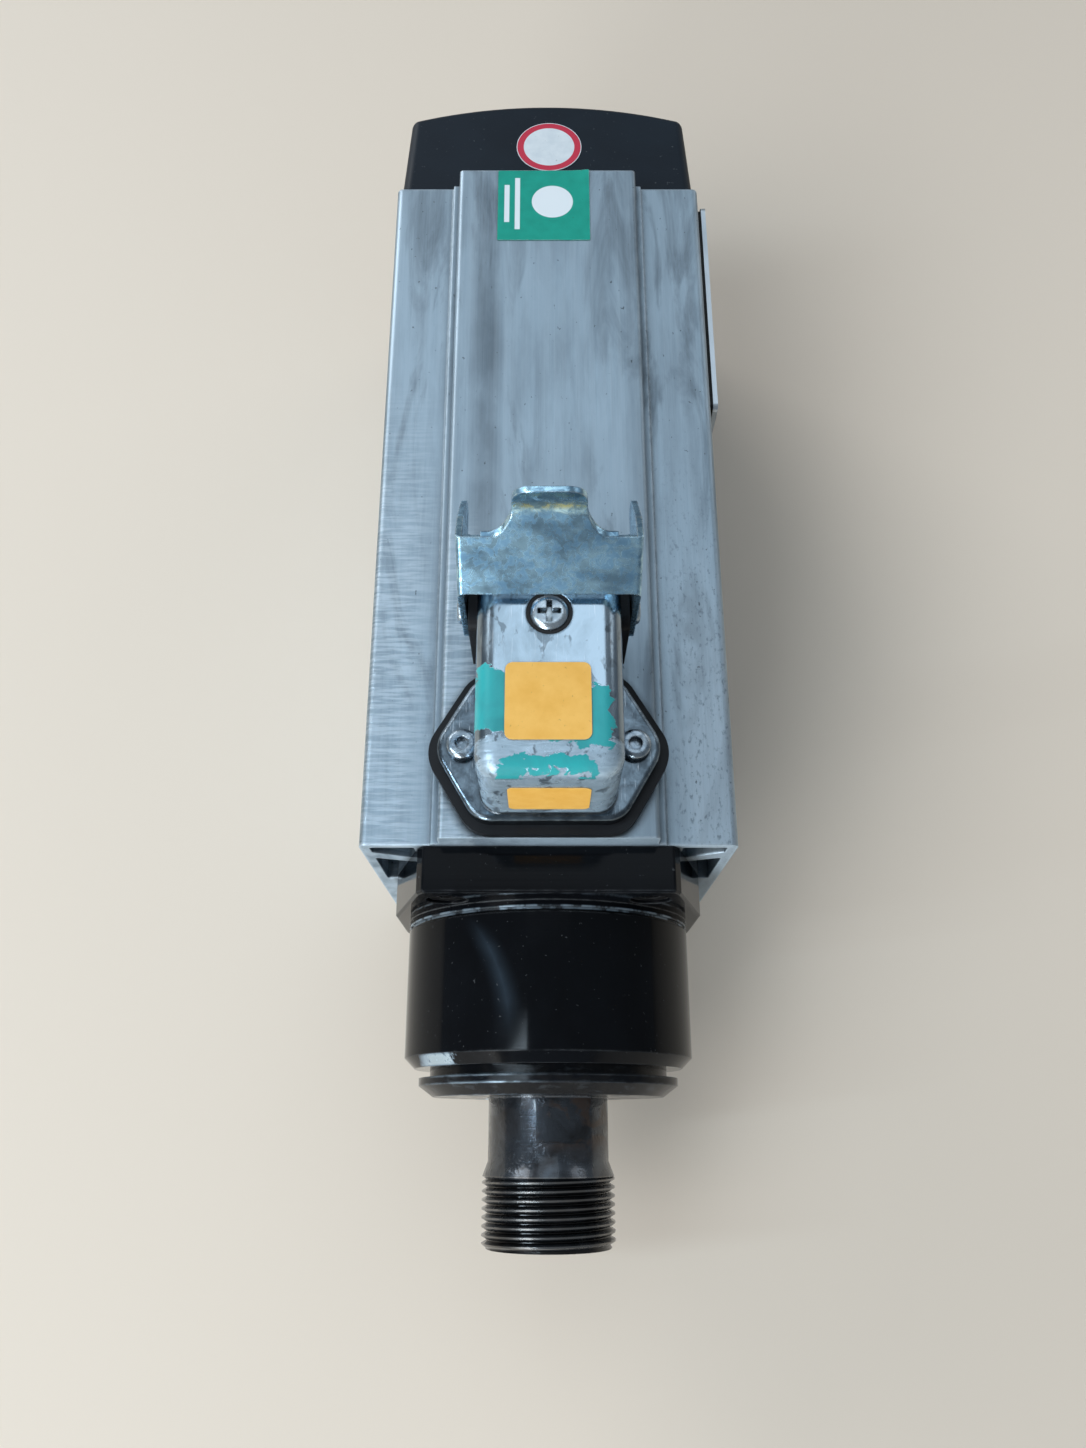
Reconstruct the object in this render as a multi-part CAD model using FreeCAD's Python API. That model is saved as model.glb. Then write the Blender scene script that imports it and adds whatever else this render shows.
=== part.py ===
"""Air-cooled spindle motor with a square extruded body, a round clamping barrel and a threaded collet nose.

Frame, in millimetres: +Y runs back along the spindle axis, +X is the name plate's side and +Z points up to
the supply connector. The origin is on the spindle axis, in the plane where the barrel meets its flange.
"""

import FreeCAD, Part
import math
import os

Vector = FreeCAD.Vector

# Running clearances and seats
running_gap = 0.3
slip_gap = 0.1
ball_gap = 0.08
pivot_gap = 0.05
rotor_gap = 0.3
seat_step = 0.2

# Body extrusion
body_width = 68.0
body_length = 152.2
body_wall = 1.8
body_corner = 1.4
bore_wall = 7.0
tube_wall = 4.0
pad_width = 39.0
pad_height = 5.2
pad_corner = 0.9
foot_width = 1.6
foot_height = 0.8
web_half = 6.8
channel_width = 8.0
channel_round = 0.5
rib_root = 1.2
rib_top_outer_drop = 3.6
rib_top_inner_drop = 7.6
rib_low_outer_drop = 7.8
rib_low_inner_drop = 11.0
port_inset_x = 15.5
port_inset_z = 7.2
port_depth = 14.0

# Threaded fasteners
m3_shank_d = 3.0
m3_head_d = 5.5
m3_head_height = 2.0
m4_shank_d = 4.0
m4_head_d = 7.0
m4_head_height = 4.0
m4_head_sink = 0.6
m4_hex_flats = 3.0
recess_depth = 1.4
head_clearance = 0.25

# Base mounting holes
base_hole_d = 6.0
base_hole_depth = 9.0
base_hole_spacing_x = 26.0
base_hole_spacing_y = 100.0
base_hole_inset = 26.0

# Front bearing housing
flange_thickness = 8.4
flange_side_inset = 4.0
flange_top_inset = 0.5
flange_top_corner_inset = 11.6
flange_corner_inset_x = 10.4
flange_corner_inset_z = 2.4
flange_side_half = 9.0
flange_side_round = 3.0
flange_corner_round = 0.6
flange_edge = 0.4
barrel_d = 56.0
barrel_length = 28.2
barrel_chamfer = 2.0
shoulder_length = 1.3
relief_d = 54.6
relief_length = 0.8
spigot_length = 5.0
lip_clearance = 2.0

# Front bearing pair, angular contact
front_bearing_bore = 20.0
front_bearing_od = 42.0
front_bearing_width = 12.0
front_pitch_d = 31.0
front_ball_d = 6.35
front_ball_count = 10
race_wall = 3.1
spacer_width = 2.0
cage_wall_share = 0.34
cage_width_share = 1.44
stack_rear_y = 3.2

# Bearing retaining ring at the nose
ring_od = 50.2
ring_width = 3.4
ring_chamfer = 2.0
ring_chamfer_radial = 2.8
ring_thread_d = 46.0
ring_stand_off = 1.7
ring_lip = 2.4
pin_hole_d = 3.6
pin_hole_circle_d = 37.0
pin_hole_depth = 2.2
pin_hole_count = 4
seal_width = 3.0
seal_height = 5.25
seal_gap = 0.25

# Spindle shaft
nose_thread_d = 25.0
nose_thread_length = 12.4
nose_cone_length = 2.6
nose_d = 23.0
nose_reach = 26.4
nose_edge = 0.8
flats_across = 21.0
flats_length = 7.8
flats_turn = 13.0
collar_d = 26.0
collar_width = 2.7
socket_mouth_d = 21.0
socket_half_angle = 8.0
socket_depth = 25.0
back_bore_d = 14.0
back_bore_depth = 10.0
locknut_od = 32.0
locknut_width = 6.0
locknut_slots = 4
locknut_slot_half = 2.0
locknut_slot_depth = 2.0
lock_washer_thickness = 1.2
lock_washer_step = 2.0
thread_run_out = 1.0
neck_d = 18.0
rotor_seat_d = 19.0
rotor_shoulder_d = 22.0
rear_shoulder_step = 2.0
rear_shoulder_length = 4.0

# Electric motor
stator_bore_share = 5 / 9
stator_front_inset = 31.6
stator_rear_inset = 45.6
slot_count = 18
stator_yoke = 3.8
slot_width = 3.2
slot_mouth = 1.4
tooth_tip = 1.2
slot_liner = 0.25
end_turn_length = 18.0
end_turn_inset = 2.0
end_turn_clearance = 1.0
end_turn_round = 3.0
rotor_bar_ring = 5.0

# Rear end
rear_bearing_bore = 12.0
rear_bearing_od = 28.0
rear_bearing_width = 8.0
rear_pitch_d = 20.0
rear_ball_d = 4.762
rear_ball_count = 8
rear_race_wall = 2.1
shield_thickness = 6.0
shield_hub_d = 36.0
shield_spigot = 5.0
shield_floor = 3.0
shield_rim_wall = 4.0
shield_round = 1.5
shield_hub_lip = 1.0
spring_space = 1.6
spring_thickness = 0.4
spring_waves = 3
shaft_hole_d = 15.0
circlip_thickness = 1.0
circlip_reach = 2.2
circlip_groove_depth = 0.4
circlip_slack = 0.1

# Cooling fan and its cover
fan_seat_d = 10.0
fan_hub_d = 18.0
fan_tip_gap = 4.0
fan_width = 9.0
fan_disc = 1.6
fan_blades = 9
fan_blade_thickness = 1.4
fan_behind_shield = 4.6
cover_wall = 2.2
cover_side_inset = 0.8
cover_taper = 1.4
cover_top_taper = 0.7
cover_corner_length = 23.0
cover_centre_length = 28.0
cover_edge = 2.2
grille_margin = 7.2
grille_ring_pitch = 4.6
grille_slot_width = 2.7
grille_rings = 5
grille_spokes = 6
grille_spoke_width = 2.6
cover_screw_z = 12.0
cover_screw_length = 8.0
cover_screw_head_depth = 1.6

# Name plate
plate_length = 55.3
plate_height = 30.0
plate_thickness = 1.0
plate_backing = 1.0
plate_rear_inset = 1.7
plate_top_drop = 3.0
plate_corner = 1.5
backing_inset = 0.5

# Supply connector
connector_inset = 15.1
gasket_half_width = 22.4
gasket_half_length = 15.0
gasket_flat_half = 13.5
gasket_thickness = 2.0
gasket_lip = 1.7
gasket_side_round = 7.0
gasket_end_round = 6.0
foot_edge = 0.9
foot_plate_thickness = 3.0
shell_width = 23.4
shell_height = 28.0
shell_underside = 2.8
shell_front_inset = 1.2
shell_rim_y = 26.5
shell_wall = 1.3
shell_front_round = 3.7
shell_top_round = 3.4
shell_window_x = 15.0
shell_window_y = 16.0
connector_screw_x = 15.0
connector_screw_depth = 6.0
insert_height = 14.5
insert_side = 21.0
insert_corner = 2.6
insert_front_y = 10.6
insert_proud = 5.0
insert_recess_side = 15.6
insert_recess_depth = 12.0
insert_recess_corner = 1.2
contact_d = 2.5
contact_offset = 4.4
contact_length = 10.0
contact_root = 5.0
insert_screw_y = 14.5
insert_screw_head_d = 6.3
insert_screw_head_height = 1.4
insert_screw_sink = 0.6
insert_screw_depth = 7.0
seal_ring_width = 0.5
lead_lift = 0.9
lead_d = 2.0
lead_pitch = 2.5
lead_count = 4
lead_bend = 5.0
lead_y = 26.4
lead_hole_d = 10.0

# Locking lever, as it stands open over the connector
lever_sheet = 1.0
lever_half_width = 14.6
pivot_y = 21.5
pivot_d = 3.0
pivot_head_d = 4.7
pivot_head_height = 1.0
lever_eye_r = 4.3
lever_bar_low = (-4.7, 15.3)
lever_bar_high = (1.6, 22.3)
lever_ear = (14.2, 12.6)
lever_slot_low = 5.6
lever_slot_width = 3.4
lever_slot_end = 8.4
lever_tab_straight = 1.5
lever_tab_bend = (4.55, 26.9)
lever_tab_tip = (4.3, 30.7)
lever_tab_half = 5.8
lever_tab_root_round = 3.9
lever_tab_round = 3.5
side_pad_gap = 0.3
side_pad_width = 12.0
side_pad_low = -8.6
side_pad_high = 8.4
side_pad_front_round = 2.0
side_pad_rear_round = 0.8

# Places worked out from the sizes above
half_body = body_width / 2
bore_r = half_body - bore_wall
tube_r = bore_r + tube_wall
body_front_y = flange_thickness
body_rear_y = body_front_y + body_length
pad_z = half_body + pad_height
inner_half = half_body - body_wall
channel_start_x = inner_half - channel_width
port_x = half_body - port_inset_x
port_z = half_body - port_inset_z
flange_half_width = half_body - flange_side_inset
flange_half_height = half_body - flange_top_inset
flange_top_half = half_body - flange_top_corner_inset
flange_corner_half = half_body - flange_corner_inset_x
flange_corner_height = half_body - flange_corner_inset_z
barrel_r = barrel_d / 2
inner_lip_r = locknut_od / 2 + lip_clearance
ring_rear_y = -barrel_length - ring_stand_off
ring_front_y = ring_rear_y - ring_width
nose_tip_y = ring_front_y - nose_reach
ring_cavity_r = nose_d / 2 + seal_gap + seal_height
stack_length = 2 * front_bearing_width + spacer_width
stack_front_y = stack_rear_y - stack_length
counterbore_y = stack_front_y + seat_step
stator_front_y = body_front_y + stator_front_inset
stator_rear_y = body_rear_y - stator_rear_inset
stator_bore_r = bore_r * stator_bore_share
slot_depth = bore_r - stator_bore_r - tooth_tip - stator_yoke
end_turn_inner_r = stator_bore_r + end_turn_inset
end_turn_outer_r = bore_r - end_turn_clearance
rear_stack_y = body_rear_y + shield_thickness - shield_floor - spring_space
rear_bearing_front_y = rear_stack_y - rear_bearing_width
shield_rear_y = body_rear_y + shield_thickness
fan_front_y = shield_rear_y + fan_behind_shield - shield_floor
fan_rear_y = fan_front_y + fan_width
cover_half = half_body - cover_side_inset
fan_r = cover_half - cover_wall - fan_tip_gap
grille_outer_r = cover_half - grille_margin
cover_top_length = cover_centre_length + 5
cover_screw_y = body_rear_y + shield_thickness / 2
cover_face_x = cover_half - cover_taper * shield_thickness / 2 / cover_corner_length
plate_rear_y = body_rear_y - plate_rear_inset
plate_top_z = half_body - plate_top_drop
connector_y = body_front_y + connector_inset
insert_centre_z = pad_z + insert_height
pivot_point = (connector_y + pivot_y, insert_centre_z)
shell_top_z = pad_z + shell_height
shell_front_y = connector_y - gasket_half_length + gasket_lip + shell_front_inset
shell_rear_y = connector_y + shell_rim_y
insert_rear_y = connector_y + shell_rim_y + insert_proud
port_hole_d = m4_shank_d
pivot_root_x = insert_side / 2 + slip_gap + 0.4
insert_screw_seat_z = shell_top_z - insert_screw_sink
side_pad_x = lever_half_width - lever_sheet - side_pad_gap


def across(side, x, y, z):
    """Point on one side of the object, mirrored when side is -1."""
    return Vector(side * x, y, z)


def along_y(a, b, at):
    """Point on a plane across the spindle axis."""
    return Vector(a, at, b)


def along_x(a, b, at):
    """Point on a plane seen from the side: a is Y and b is Z."""
    return Vector(at, a, b)


def along_z(a, b, at):
    """Point on a level plane."""
    return Vector(a, b, at)


def rod(radius, start_y, end_y, x=0.0, z=0.0):
    """Cylinder parallel to the spindle axis."""
    return Part.makeCylinder(radius, end_y - start_y, Vector(x, start_y, z), Vector(0, 1, 0))


def post(radius, low_z, high_z, x, y):
    """Upright cylinder."""
    return Part.makeCylinder(radius, high_z - low_z, Vector(x, y, low_z), Vector(0, 0, 1))


def tube(outer_r, inner_r, start_y, end_y):
    """Plain ring round the spindle axis."""
    return rod(outer_r, start_y, end_y).cut(rod(inner_r, start_y, end_y))


def block(low, high):
    """Box between two corners."""
    size = [b - a for a, b in zip(low, high)]
    return Part.makeBox(size[0], size[1], size[2], Vector(*low))


def turned(profile):
    """Solid of revolution about the spindle axis. The profile lists (radius, y) points."""
    points = [Vector(r, y, 0) for r, y in profile]
    face = Part.Face(Part.makePolygon(points + points[:1]))
    return face.revolve(Vector(0, 0, 0), Vector(0, 1, 0), 360)


def rounded_face(points, radii, place, at):
    """Flat face with each corner rounded to its own radius; a radius of zero keeps the corner sharp."""
    count = len(points)
    flat = [Vector(p[0], p[1], 0) for p in points]
    edges = []
    ends = []
    for i in range(count):
        before, corner, after = flat[i - 1], flat[i], flat[(i + 1) % count]
        radius = radii[i]
        back = (before - corner).normalize()
        ahead = (after - corner).normalize()
        if radius <= 0:
            ends.append((corner, None, corner))
            continue
        half = back.getAngle(ahead) / 2
        reach = radius / math.tan(half)
        middle = corner + (back + ahead).normalize() * (radius / math.sin(half) - radius)
        ends.append((corner + back * reach, middle, corner + ahead * reach))
    for i in range(count):
        start, middle, finish = ends[i]
        if middle is not None:
            arc = Part.Arc(*[place(p.x, p.y, at) for p in (start, middle, finish)])
            edges.append(arc.toShape())
        following = ends[(i + 1) % count][0]
        if (following - finish).Length > 1e-6:
            edges.append(Part.makeLine(place(finish.x, finish.y, at), place(following.x, following.y, at)))
    return Part.Face(Part.Wire(edges))


def four_ways(x, z):
    """The same place in each quarter of the cross-section."""
    return [(x, z), (-x, z), (-x, -z), (x, -z)]


def edges_where(shape, test):
    """Edges whose every sampled point passes the test."""
    found = []
    for edge in shape.Edges:
        samples = edge.discretize(5)
        if all(test(p) for p in samples):
            found.append(edge)
    return found


def fused(pieces):
    """One shape from several that touch or overlap."""
    return pieces[0].multiFuse(pieces[1:]).removeSplitter()


def hex_socket(flats, depth, x, z, open_y):
    """Hexagonal key recess that opens towards -Y at open_y."""
    corner = flats / math.sqrt(3)
    angles = [math.radians(60 * k) for k in range(6)]
    points = [Vector(x + corner * math.cos(a), open_y, z + corner * math.sin(a)) for a in angles]
    return Part.Face(Part.makePolygon(points + points[:1])).extrude(Vector(0, depth, 0))


def cross_recess(length, width, depth, x, y, top_z):
    """Cross-shaped driver recess in the top of an upright screw."""
    half, slim = length / 2, width / 2
    one = block((x - half, y - slim, top_z - depth), (x + half, y + slim, top_z))
    two = block((x - slim, y - half, top_z - depth), (x + slim, y + half, top_z))
    return one.fuse(two)


def body_outline():
    """Outer edge of the extrusion: a square with a raised pad and its small foot on the top and bottom."""
    pad = pad_width / 2
    foot = pad + foot_width
    step_z = half_body + foot_height
    quarter = [(half_body, half_body), (foot, half_body), (foot, step_z), (pad, step_z), (pad, pad_z)]
    rounds = [body_corner, foot_height / 3, foot_height / 3, foot_height / 3, pad_corner]
    right_top = quarter
    left_top = [(-x, z) for x, z in reversed(quarter)]
    left_bottom = [(-x, -z) for x, z in quarter]
    right_bottom = [(x, -z) for x, z in reversed(quarter)]
    points = right_top + left_top + left_bottom + right_bottom
    radii = rounds + rounds[::-1] + rounds + rounds[::-1]
    return points, radii


def air_channels():
    """Cooling channels in the four corners, each split by a rib that leans down towards the tube."""
    rib_x = channel_start_x + rib_root
    upper = [
        (channel_start_x, inner_half - rib_top_inner_drop),
        (rib_x, inner_half - rib_top_inner_drop),
        (inner_half, inner_half - rib_top_outer_drop),
        (inner_half, inner_half),
        (channel_start_x, inner_half),
    ]
    lower = [
        (channel_start_x, web_half),
        (inner_half, web_half),
        (inner_half, inner_half - rib_low_outer_drop),
        (rib_x, inner_half - rib_low_inner_drop),
        (channel_start_x, inner_half - rib_low_inner_drop),
    ]
    slot = rounded_face(upper, [0, 0] + [channel_round] * 3, along_y, body_front_y)
    wedge = rounded_face(lower, [0, channel_round, channel_round, 0, 0], along_y, body_front_y)
    length = Vector(0, body_length, 0)
    wedge = wedge.extrude(length).cut(rod(tube_r, body_front_y, body_rear_y))
    right_top = [slot.extrude(length), wedge]
    left_top = [s.mirror(Vector(0, 0, 0), Vector(1, 0, 0)) for s in right_top]
    top = right_top + left_top
    return top + [s.mirror(Vector(0, 0, 0), Vector(0, 0, 1)) for s in top]


def base_hole_places():
    """Tapped holes in the bottom pad, two by two."""
    first_y = body_front_y + base_hole_inset
    half = base_hole_spacing_x / 2
    return [(x, y) for x in (-half, half) for y in (first_y, first_y + base_hole_spacing_y)]


def motor_housing():
    points, radii = body_outline()
    shape = rounded_face(points, radii, along_y, body_front_y).extrude(Vector(0, body_length, 0))
    cuts = [rod(bore_r, body_front_y, body_rear_y)] + air_channels()
    for x, z in four_ways(port_x, port_z):
        cuts.append(rod(port_hole_d / 2, body_front_y, body_front_y + port_depth, x, z))
        cuts.append(rod(port_hole_d / 2, body_rear_y - port_depth, body_rear_y, x, z))
    for x, y in base_hole_places():
        cuts.append(post(base_hole_d / 2, -pad_z, -pad_z + base_hole_depth, x, y))
    for side in (-1, 1):
        low_z = pad_z - connector_screw_depth
        cuts.append(post(m3_shank_d / 2, low_z, pad_z, side * connector_screw_x, connector_y))
    cuts.append(post(lead_hole_d / 2, bore_r * 0.7, pad_z, 0, lead_y))
    return shape.cut(Part.makeCompound(cuts))


def flange_outline():
    """Front flange: flat top and bottom, slanted corners that leave the air channels open."""
    quarter = [
        (flange_half_width, flange_side_half),
        (flange_corner_half, flange_corner_height),
        (flange_top_half, flange_half_height),
    ]
    right_top = quarter
    left_top = [(-x, z) for x, z in reversed(quarter)]
    left_bottom = [(-x, -z) for x, z in quarter]
    right_bottom = [(x, -z) for x, z in reversed(quarter)]
    return right_top + left_top + left_bottom + right_bottom


def front_housing():
    outline = flange_outline()
    rounds = [flange_side_round, flange_corner_round, flange_corner_round]
    rounds = rounds + rounds[::-1] + rounds + rounds[::-1]
    flange = rounded_face(outline, rounds, along_y, 0).extrude(Vector(0, flange_thickness, 0))
    barrel = turned([
        (0, flange_thickness / 2),
        (0, -barrel_length),
        (barrel_r - barrel_chamfer, -barrel_length),
        (barrel_r, -barrel_length + barrel_chamfer),
        (barrel_r, -shoulder_length - relief_length),
        (relief_d / 2, -shoulder_length - relief_length),
        (relief_d / 2, -shoulder_length),
        (barrel_r, -shoulder_length),
        (barrel_r, flange_thickness / 2),
    ])
    spigot = rod(bore_r, flange_thickness / 2, flange_thickness + spigot_length)
    body = fused([flange, barrel, spigot])
    edge = edges_where(body, lambda p: abs(p.y) < 1e-4 and math.hypot(p.x, p.z) > barrel_r + 1)
    body = body.makeChamfer(flange_edge, edge)
    bore = turned([
        (0, -barrel_length - 1),
        (ring_thread_d / 2, -barrel_length - 1),
        (ring_thread_d / 2, counterbore_y),
        (front_bearing_od / 2, counterbore_y),
        (front_bearing_od / 2, stack_rear_y),
        (inner_lip_r, stack_rear_y),
        (inner_lip_r, flange_thickness + spigot_length + 1),
        (0, flange_thickness + spigot_length + 1),
    ])
    cuts = [bore]
    for x, z in four_ways(port_x, port_z):
        head_r = m4_head_d / 2 + head_clearance
        cuts.append(rod(head_r, -1, m4_head_height + m4_head_sink, x, z))
        cuts.append(rod(m4_shank_d / 2 + slip_gap, 0, flange_thickness + 1, x, z))
    return body.cut(Part.makeCompound(cuts))


def cap_screw(head_y, direction, reach, x, z):
    """Socket cap screw along Y. head_y is the seat under the head, direction is where the shank points."""
    head_end = head_y - direction * m4_head_height
    shank_end = head_y + direction * reach
    low, high = sorted((head_end, head_y))
    head = rod(m4_head_d / 2, low, high, x, z)
    low, high = sorted((head_y, shank_end))
    shank = rod(m4_shank_d / 2, low, high, x, z)
    socket_y = head_end if direction > 0 else head_end - recess_depth * 1.4
    socket = hex_socket(m4_hex_flats, recess_depth * 1.4, x, z, socket_y)
    return head.fuse(shank).cut(socket)


def front_screws():
    seat = m4_head_height + m4_head_sink
    reach = flange_thickness - seat + port_depth - 3
    return Part.makeCompound([cap_screw(seat, 1, reach, x, z) for x, z in four_ways(port_x, port_z)])


def retaining_ring():
    ring = turned([
        (nose_d / 2 + running_gap, ring_front_y),
        (ring_od / 2 - ring_chamfer_radial, ring_front_y),
        (ring_od / 2, ring_front_y + ring_chamfer),
        (ring_od / 2, ring_rear_y),
        (ring_thread_d / 2, ring_rear_y),
        (ring_thread_d / 2, stack_front_y),
        (ring_cavity_r, stack_front_y),
        (ring_cavity_r, ring_front_y + ring_lip),
        (nose_d / 2 + running_gap, ring_front_y + ring_lip),
    ])
    holes = []
    for k in range(pin_hole_count):
        angle = math.radians(45 + 360 / pin_hole_count * k)
        x = pin_hole_circle_d / 2 * math.cos(angle)
        z = pin_hole_circle_d / 2 * math.sin(angle)
        holes.append(rod(pin_hole_d / 2, ring_front_y - 1, ring_front_y + pin_hole_depth, x, z))
    return ring.cut(Part.makeCompound(holes))


def dust_seal():
    start = ring_front_y + ring_lip
    return tube(ring_cavity_r, nose_d / 2 + seal_gap, start, start + seal_width)


def race_groove(pitch_d, ball_d, centre_y):
    """Ring of circular section that the balls run in."""
    return Part.makeTorus(pitch_d / 2, ball_d / 2 + ball_gap, Vector(0, centre_y, 0), Vector(0, 1, 0))


def outer_race(bore, od, width, pitch_d, ball_d, wall, start_y):
    ring = tube(od / 2, od / 2 - wall, start_y, start_y + width)
    return ring.cut(race_groove(pitch_d, ball_d, start_y + width / 2))


def inner_race(bore, od, width, pitch_d, ball_d, wall, start_y):
    ring = tube(bore / 2 + wall, bore / 2, start_y, start_y + width)
    return ring.cut(race_groove(pitch_d, ball_d, start_y + width / 2))


def ball_places(pitch_d, count):
    angles = [2 * math.pi * k / count for k in range(count)]
    return [(pitch_d / 2 * math.cos(a), pitch_d / 2 * math.sin(a)) for a in angles]


def ball_set(pitch_d, ball_d, count, centre_y):
    """Balls of one bearing, each a separate solid whose poles lie on its orbit's axis."""
    return Part.makeCompound([
        Part.makeSphere(ball_d / 2, Vector(x, centre_y, z), Vector(0, 1, 0))
        for x, z in ball_places(pitch_d, count)
    ])


def ball_cage(pitch_d, ball_d, count, centre_y):
    """Machined cage: a ring at the pitch circle with a pocket for each ball."""
    half_wall = ball_d * cage_wall_share / 2
    half_width = ball_d * cage_width_share / 2
    low_y, high_y = centre_y - half_width, centre_y + half_width
    ring = tube(pitch_d / 2 + half_wall, pitch_d / 2 - half_wall, low_y, high_y)
    pocket_r = ball_d / 2 + 2 * ball_gap
    pockets = []
    for x, z in ball_places(pitch_d, count):
        outward = Vector(x, 0, z).normalize()
        start = Vector(x, centre_y, z) - outward * ball_d / 2
        pockets.append(Part.makeCylinder(pocket_r, ball_d, start, outward))
    return ring.cut(Part.makeCompound(pockets))


front_rings = (front_bearing_bore, front_bearing_od, front_bearing_width)
front_bearing_sizes = (*front_rings, front_pitch_d, front_ball_d, race_wall)
rear_rings = (rear_bearing_bore, rear_bearing_od, rear_bearing_width)
rear_bearing_sizes = (*rear_rings, rear_pitch_d, rear_ball_d, rear_race_wall)
first_bearing_y = stack_front_y
second_bearing_y = stack_front_y + front_bearing_width + spacer_width
first_ball_y = first_bearing_y + front_bearing_width / 2
second_ball_y = second_bearing_y + front_bearing_width / 2
rear_ball_y = rear_bearing_front_y + rear_bearing_width / 2


def outer_spacer():
    start = stack_front_y + front_bearing_width
    return tube(front_bearing_od / 2, front_bearing_od / 2 - race_wall, start, start + spacer_width)


def inner_spacer():
    start = stack_front_y + front_bearing_width
    return tube(front_bearing_bore / 2 + race_wall, front_bearing_bore / 2, start, start + spacer_width)


def lock_washer():
    outer = locknut_od / 2 - lock_washer_step
    return tube(outer, front_bearing_bore / 2, stack_rear_y, stack_rear_y + lock_washer_thickness)


def locknut():
    start = stack_rear_y + lock_washer_thickness
    nut = tube(locknut_od / 2, front_bearing_bore / 2, start, start + locknut_width)
    slots = []
    floor_x = locknut_od / 2 - locknut_slot_depth
    for k in range(locknut_slots):
        low = (floor_x, start - 1, -locknut_slot_half)
        slot = block(low, (locknut_od, start + locknut_width + 1, locknut_slot_half))
        slots.append(slot.rotate(Vector(0, 0, 0), Vector(0, 1, 0), 360 / locknut_slots * k))
    return nut.cut(Part.makeCompound(slots))


def spindle_shaft():
    nut_end = stack_rear_y + lock_washer_thickness + locknut_width + thread_run_out
    cone_y = nose_tip_y + nose_thread_length
    body = turned([
        (0, nose_tip_y),
        (nose_thread_d / 2 - nose_edge, nose_tip_y),
        (nose_thread_d / 2, nose_tip_y + nose_edge),
        (nose_thread_d / 2, cone_y),
        (nose_d / 2, cone_y + nose_cone_length),
        (nose_d / 2, stack_front_y - collar_width),
        (collar_d / 2, stack_front_y - collar_width),
        (collar_d / 2, stack_front_y),
        (front_bearing_bore / 2, stack_front_y),
        (front_bearing_bore / 2, nut_end),
        (neck_d / 2, nut_end),
        (neck_d / 2, stator_front_y - rotor_bar_ring),
        (rotor_seat_d / 2, stator_front_y - rotor_bar_ring),
        (rotor_seat_d / 2, stator_rear_y + rotor_bar_ring),
        (rotor_shoulder_d / 2, stator_rear_y + rotor_bar_ring),
        (rotor_shoulder_d / 2, stator_rear_y + 2 * rotor_bar_ring),
        (neck_d / 2, stator_rear_y + 2 * rotor_bar_ring),
        (neck_d / 2, rear_bearing_front_y - rear_shoulder_length),
        (rear_bearing_bore / 2 + rear_shoulder_step, rear_bearing_front_y - rear_shoulder_length),
        (rear_bearing_bore / 2 + rear_shoulder_step, rear_bearing_front_y),
        (rear_bearing_bore / 2, rear_bearing_front_y),
        (rear_bearing_bore / 2, shield_rear_y + 1),
        (fan_seat_d / 2, shield_rear_y + 1),
        (fan_seat_d / 2, fan_rear_y + 2 * circlip_thickness),
        (0, fan_rear_y + 2 * circlip_thickness),
    ])
    taper_end_d = socket_mouth_d - 2 * socket_depth * math.tan(math.radians(socket_half_angle))
    back_start = nose_tip_y + socket_depth
    socket = turned([
        (0, nose_tip_y - 1),
        (socket_mouth_d / 2, nose_tip_y - 1),
        (socket_mouth_d / 2, nose_tip_y),
        (taper_end_d / 2, back_start),
        (back_bore_d / 2, back_start),
        (back_bore_d / 2, back_start + back_bore_depth),
        (0, back_start + back_bore_depth + back_bore_d / 4),
    ])
    grooves = [circlip_groove(rear_bearing_bore, rear_stack_y), circlip_groove(fan_seat_d, fan_rear_y)]
    flats_end = ring_front_y - running_gap
    flats = []
    for side in (-1, 1):
        low = flats_across / 2 if side > 0 else -nose_d
        high = nose_d if side > 0 else -flats_across / 2
        flats.append(block((-nose_d, flats_end - flats_length, low), (nose_d, flats_end, high)))
    flats = Part.makeCompound(flats).rotate(Vector(0, 0, 0), Vector(0, 1, 0), flats_turn)
    return body.cut(Part.makeCompound([socket, flats] + grooves))


def circlip(seat_d, start_y):
    """Open ring that sits in its groove in the shaft."""
    inner = seat_d / 2 - circlip_groove_depth
    ring = tube(inner + circlip_reach, inner, start_y, start_y + circlip_thickness)
    gap = block((-seat_d * 0.2, start_y - 1, 0), (seat_d * 0.2, start_y + circlip_thickness + 1, seat_d))
    return ring.cut(gap)


def circlip_groove(seat_d, start_y):
    end_y = start_y + circlip_thickness + circlip_slack
    return tube(seat_d, seat_d / 2 - circlip_groove_depth, start_y, end_y)


def stator_slot(grow):
    """One winding slot on the +Z side, shrunk all round by grow for the copper that lies in it."""
    half = slot_width / 2 - grow
    low_z = stator_bore_r + tooth_tip + grow
    high_z = low_z + slot_depth - 2 * grow
    return block((-half, stator_front_y, low_z), (half, stator_rear_y, high_z))


def round_the_bore(shape, count):
    return [shape.copy().rotate(Vector(0, 0, 0), Vector(0, 1, 0), 360 / count * k) for k in range(count)]


def stator_core():
    core = tube(bore_r, stator_bore_r, stator_front_y, stator_rear_y)
    start_r = stator_bore_r
    mouth = block(
        (-slot_mouth / 2, stator_front_y, start_r - 1),
        (slot_mouth / 2, stator_rear_y, start_r + tooth_tip + 1),
    )
    slots = round_the_bore(stator_slot(0).fuse(mouth), slot_count)
    return core.cut(Part.makeCompound(slots))


def end_turns(near_y, far_y):
    """Bound bundle of end turns beside the core, rounded at its free end."""
    ring = tube(end_turn_outer_r, end_turn_inner_r, min(near_y, far_y), max(near_y, far_y))
    free = edges_where(ring, lambda p: abs(p.y - far_y) < 1e-4)
    wall = end_turn_outer_r - end_turn_inner_r
    return ring.makeFillet(min(end_turn_round, wall * 0.4), free)


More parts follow.
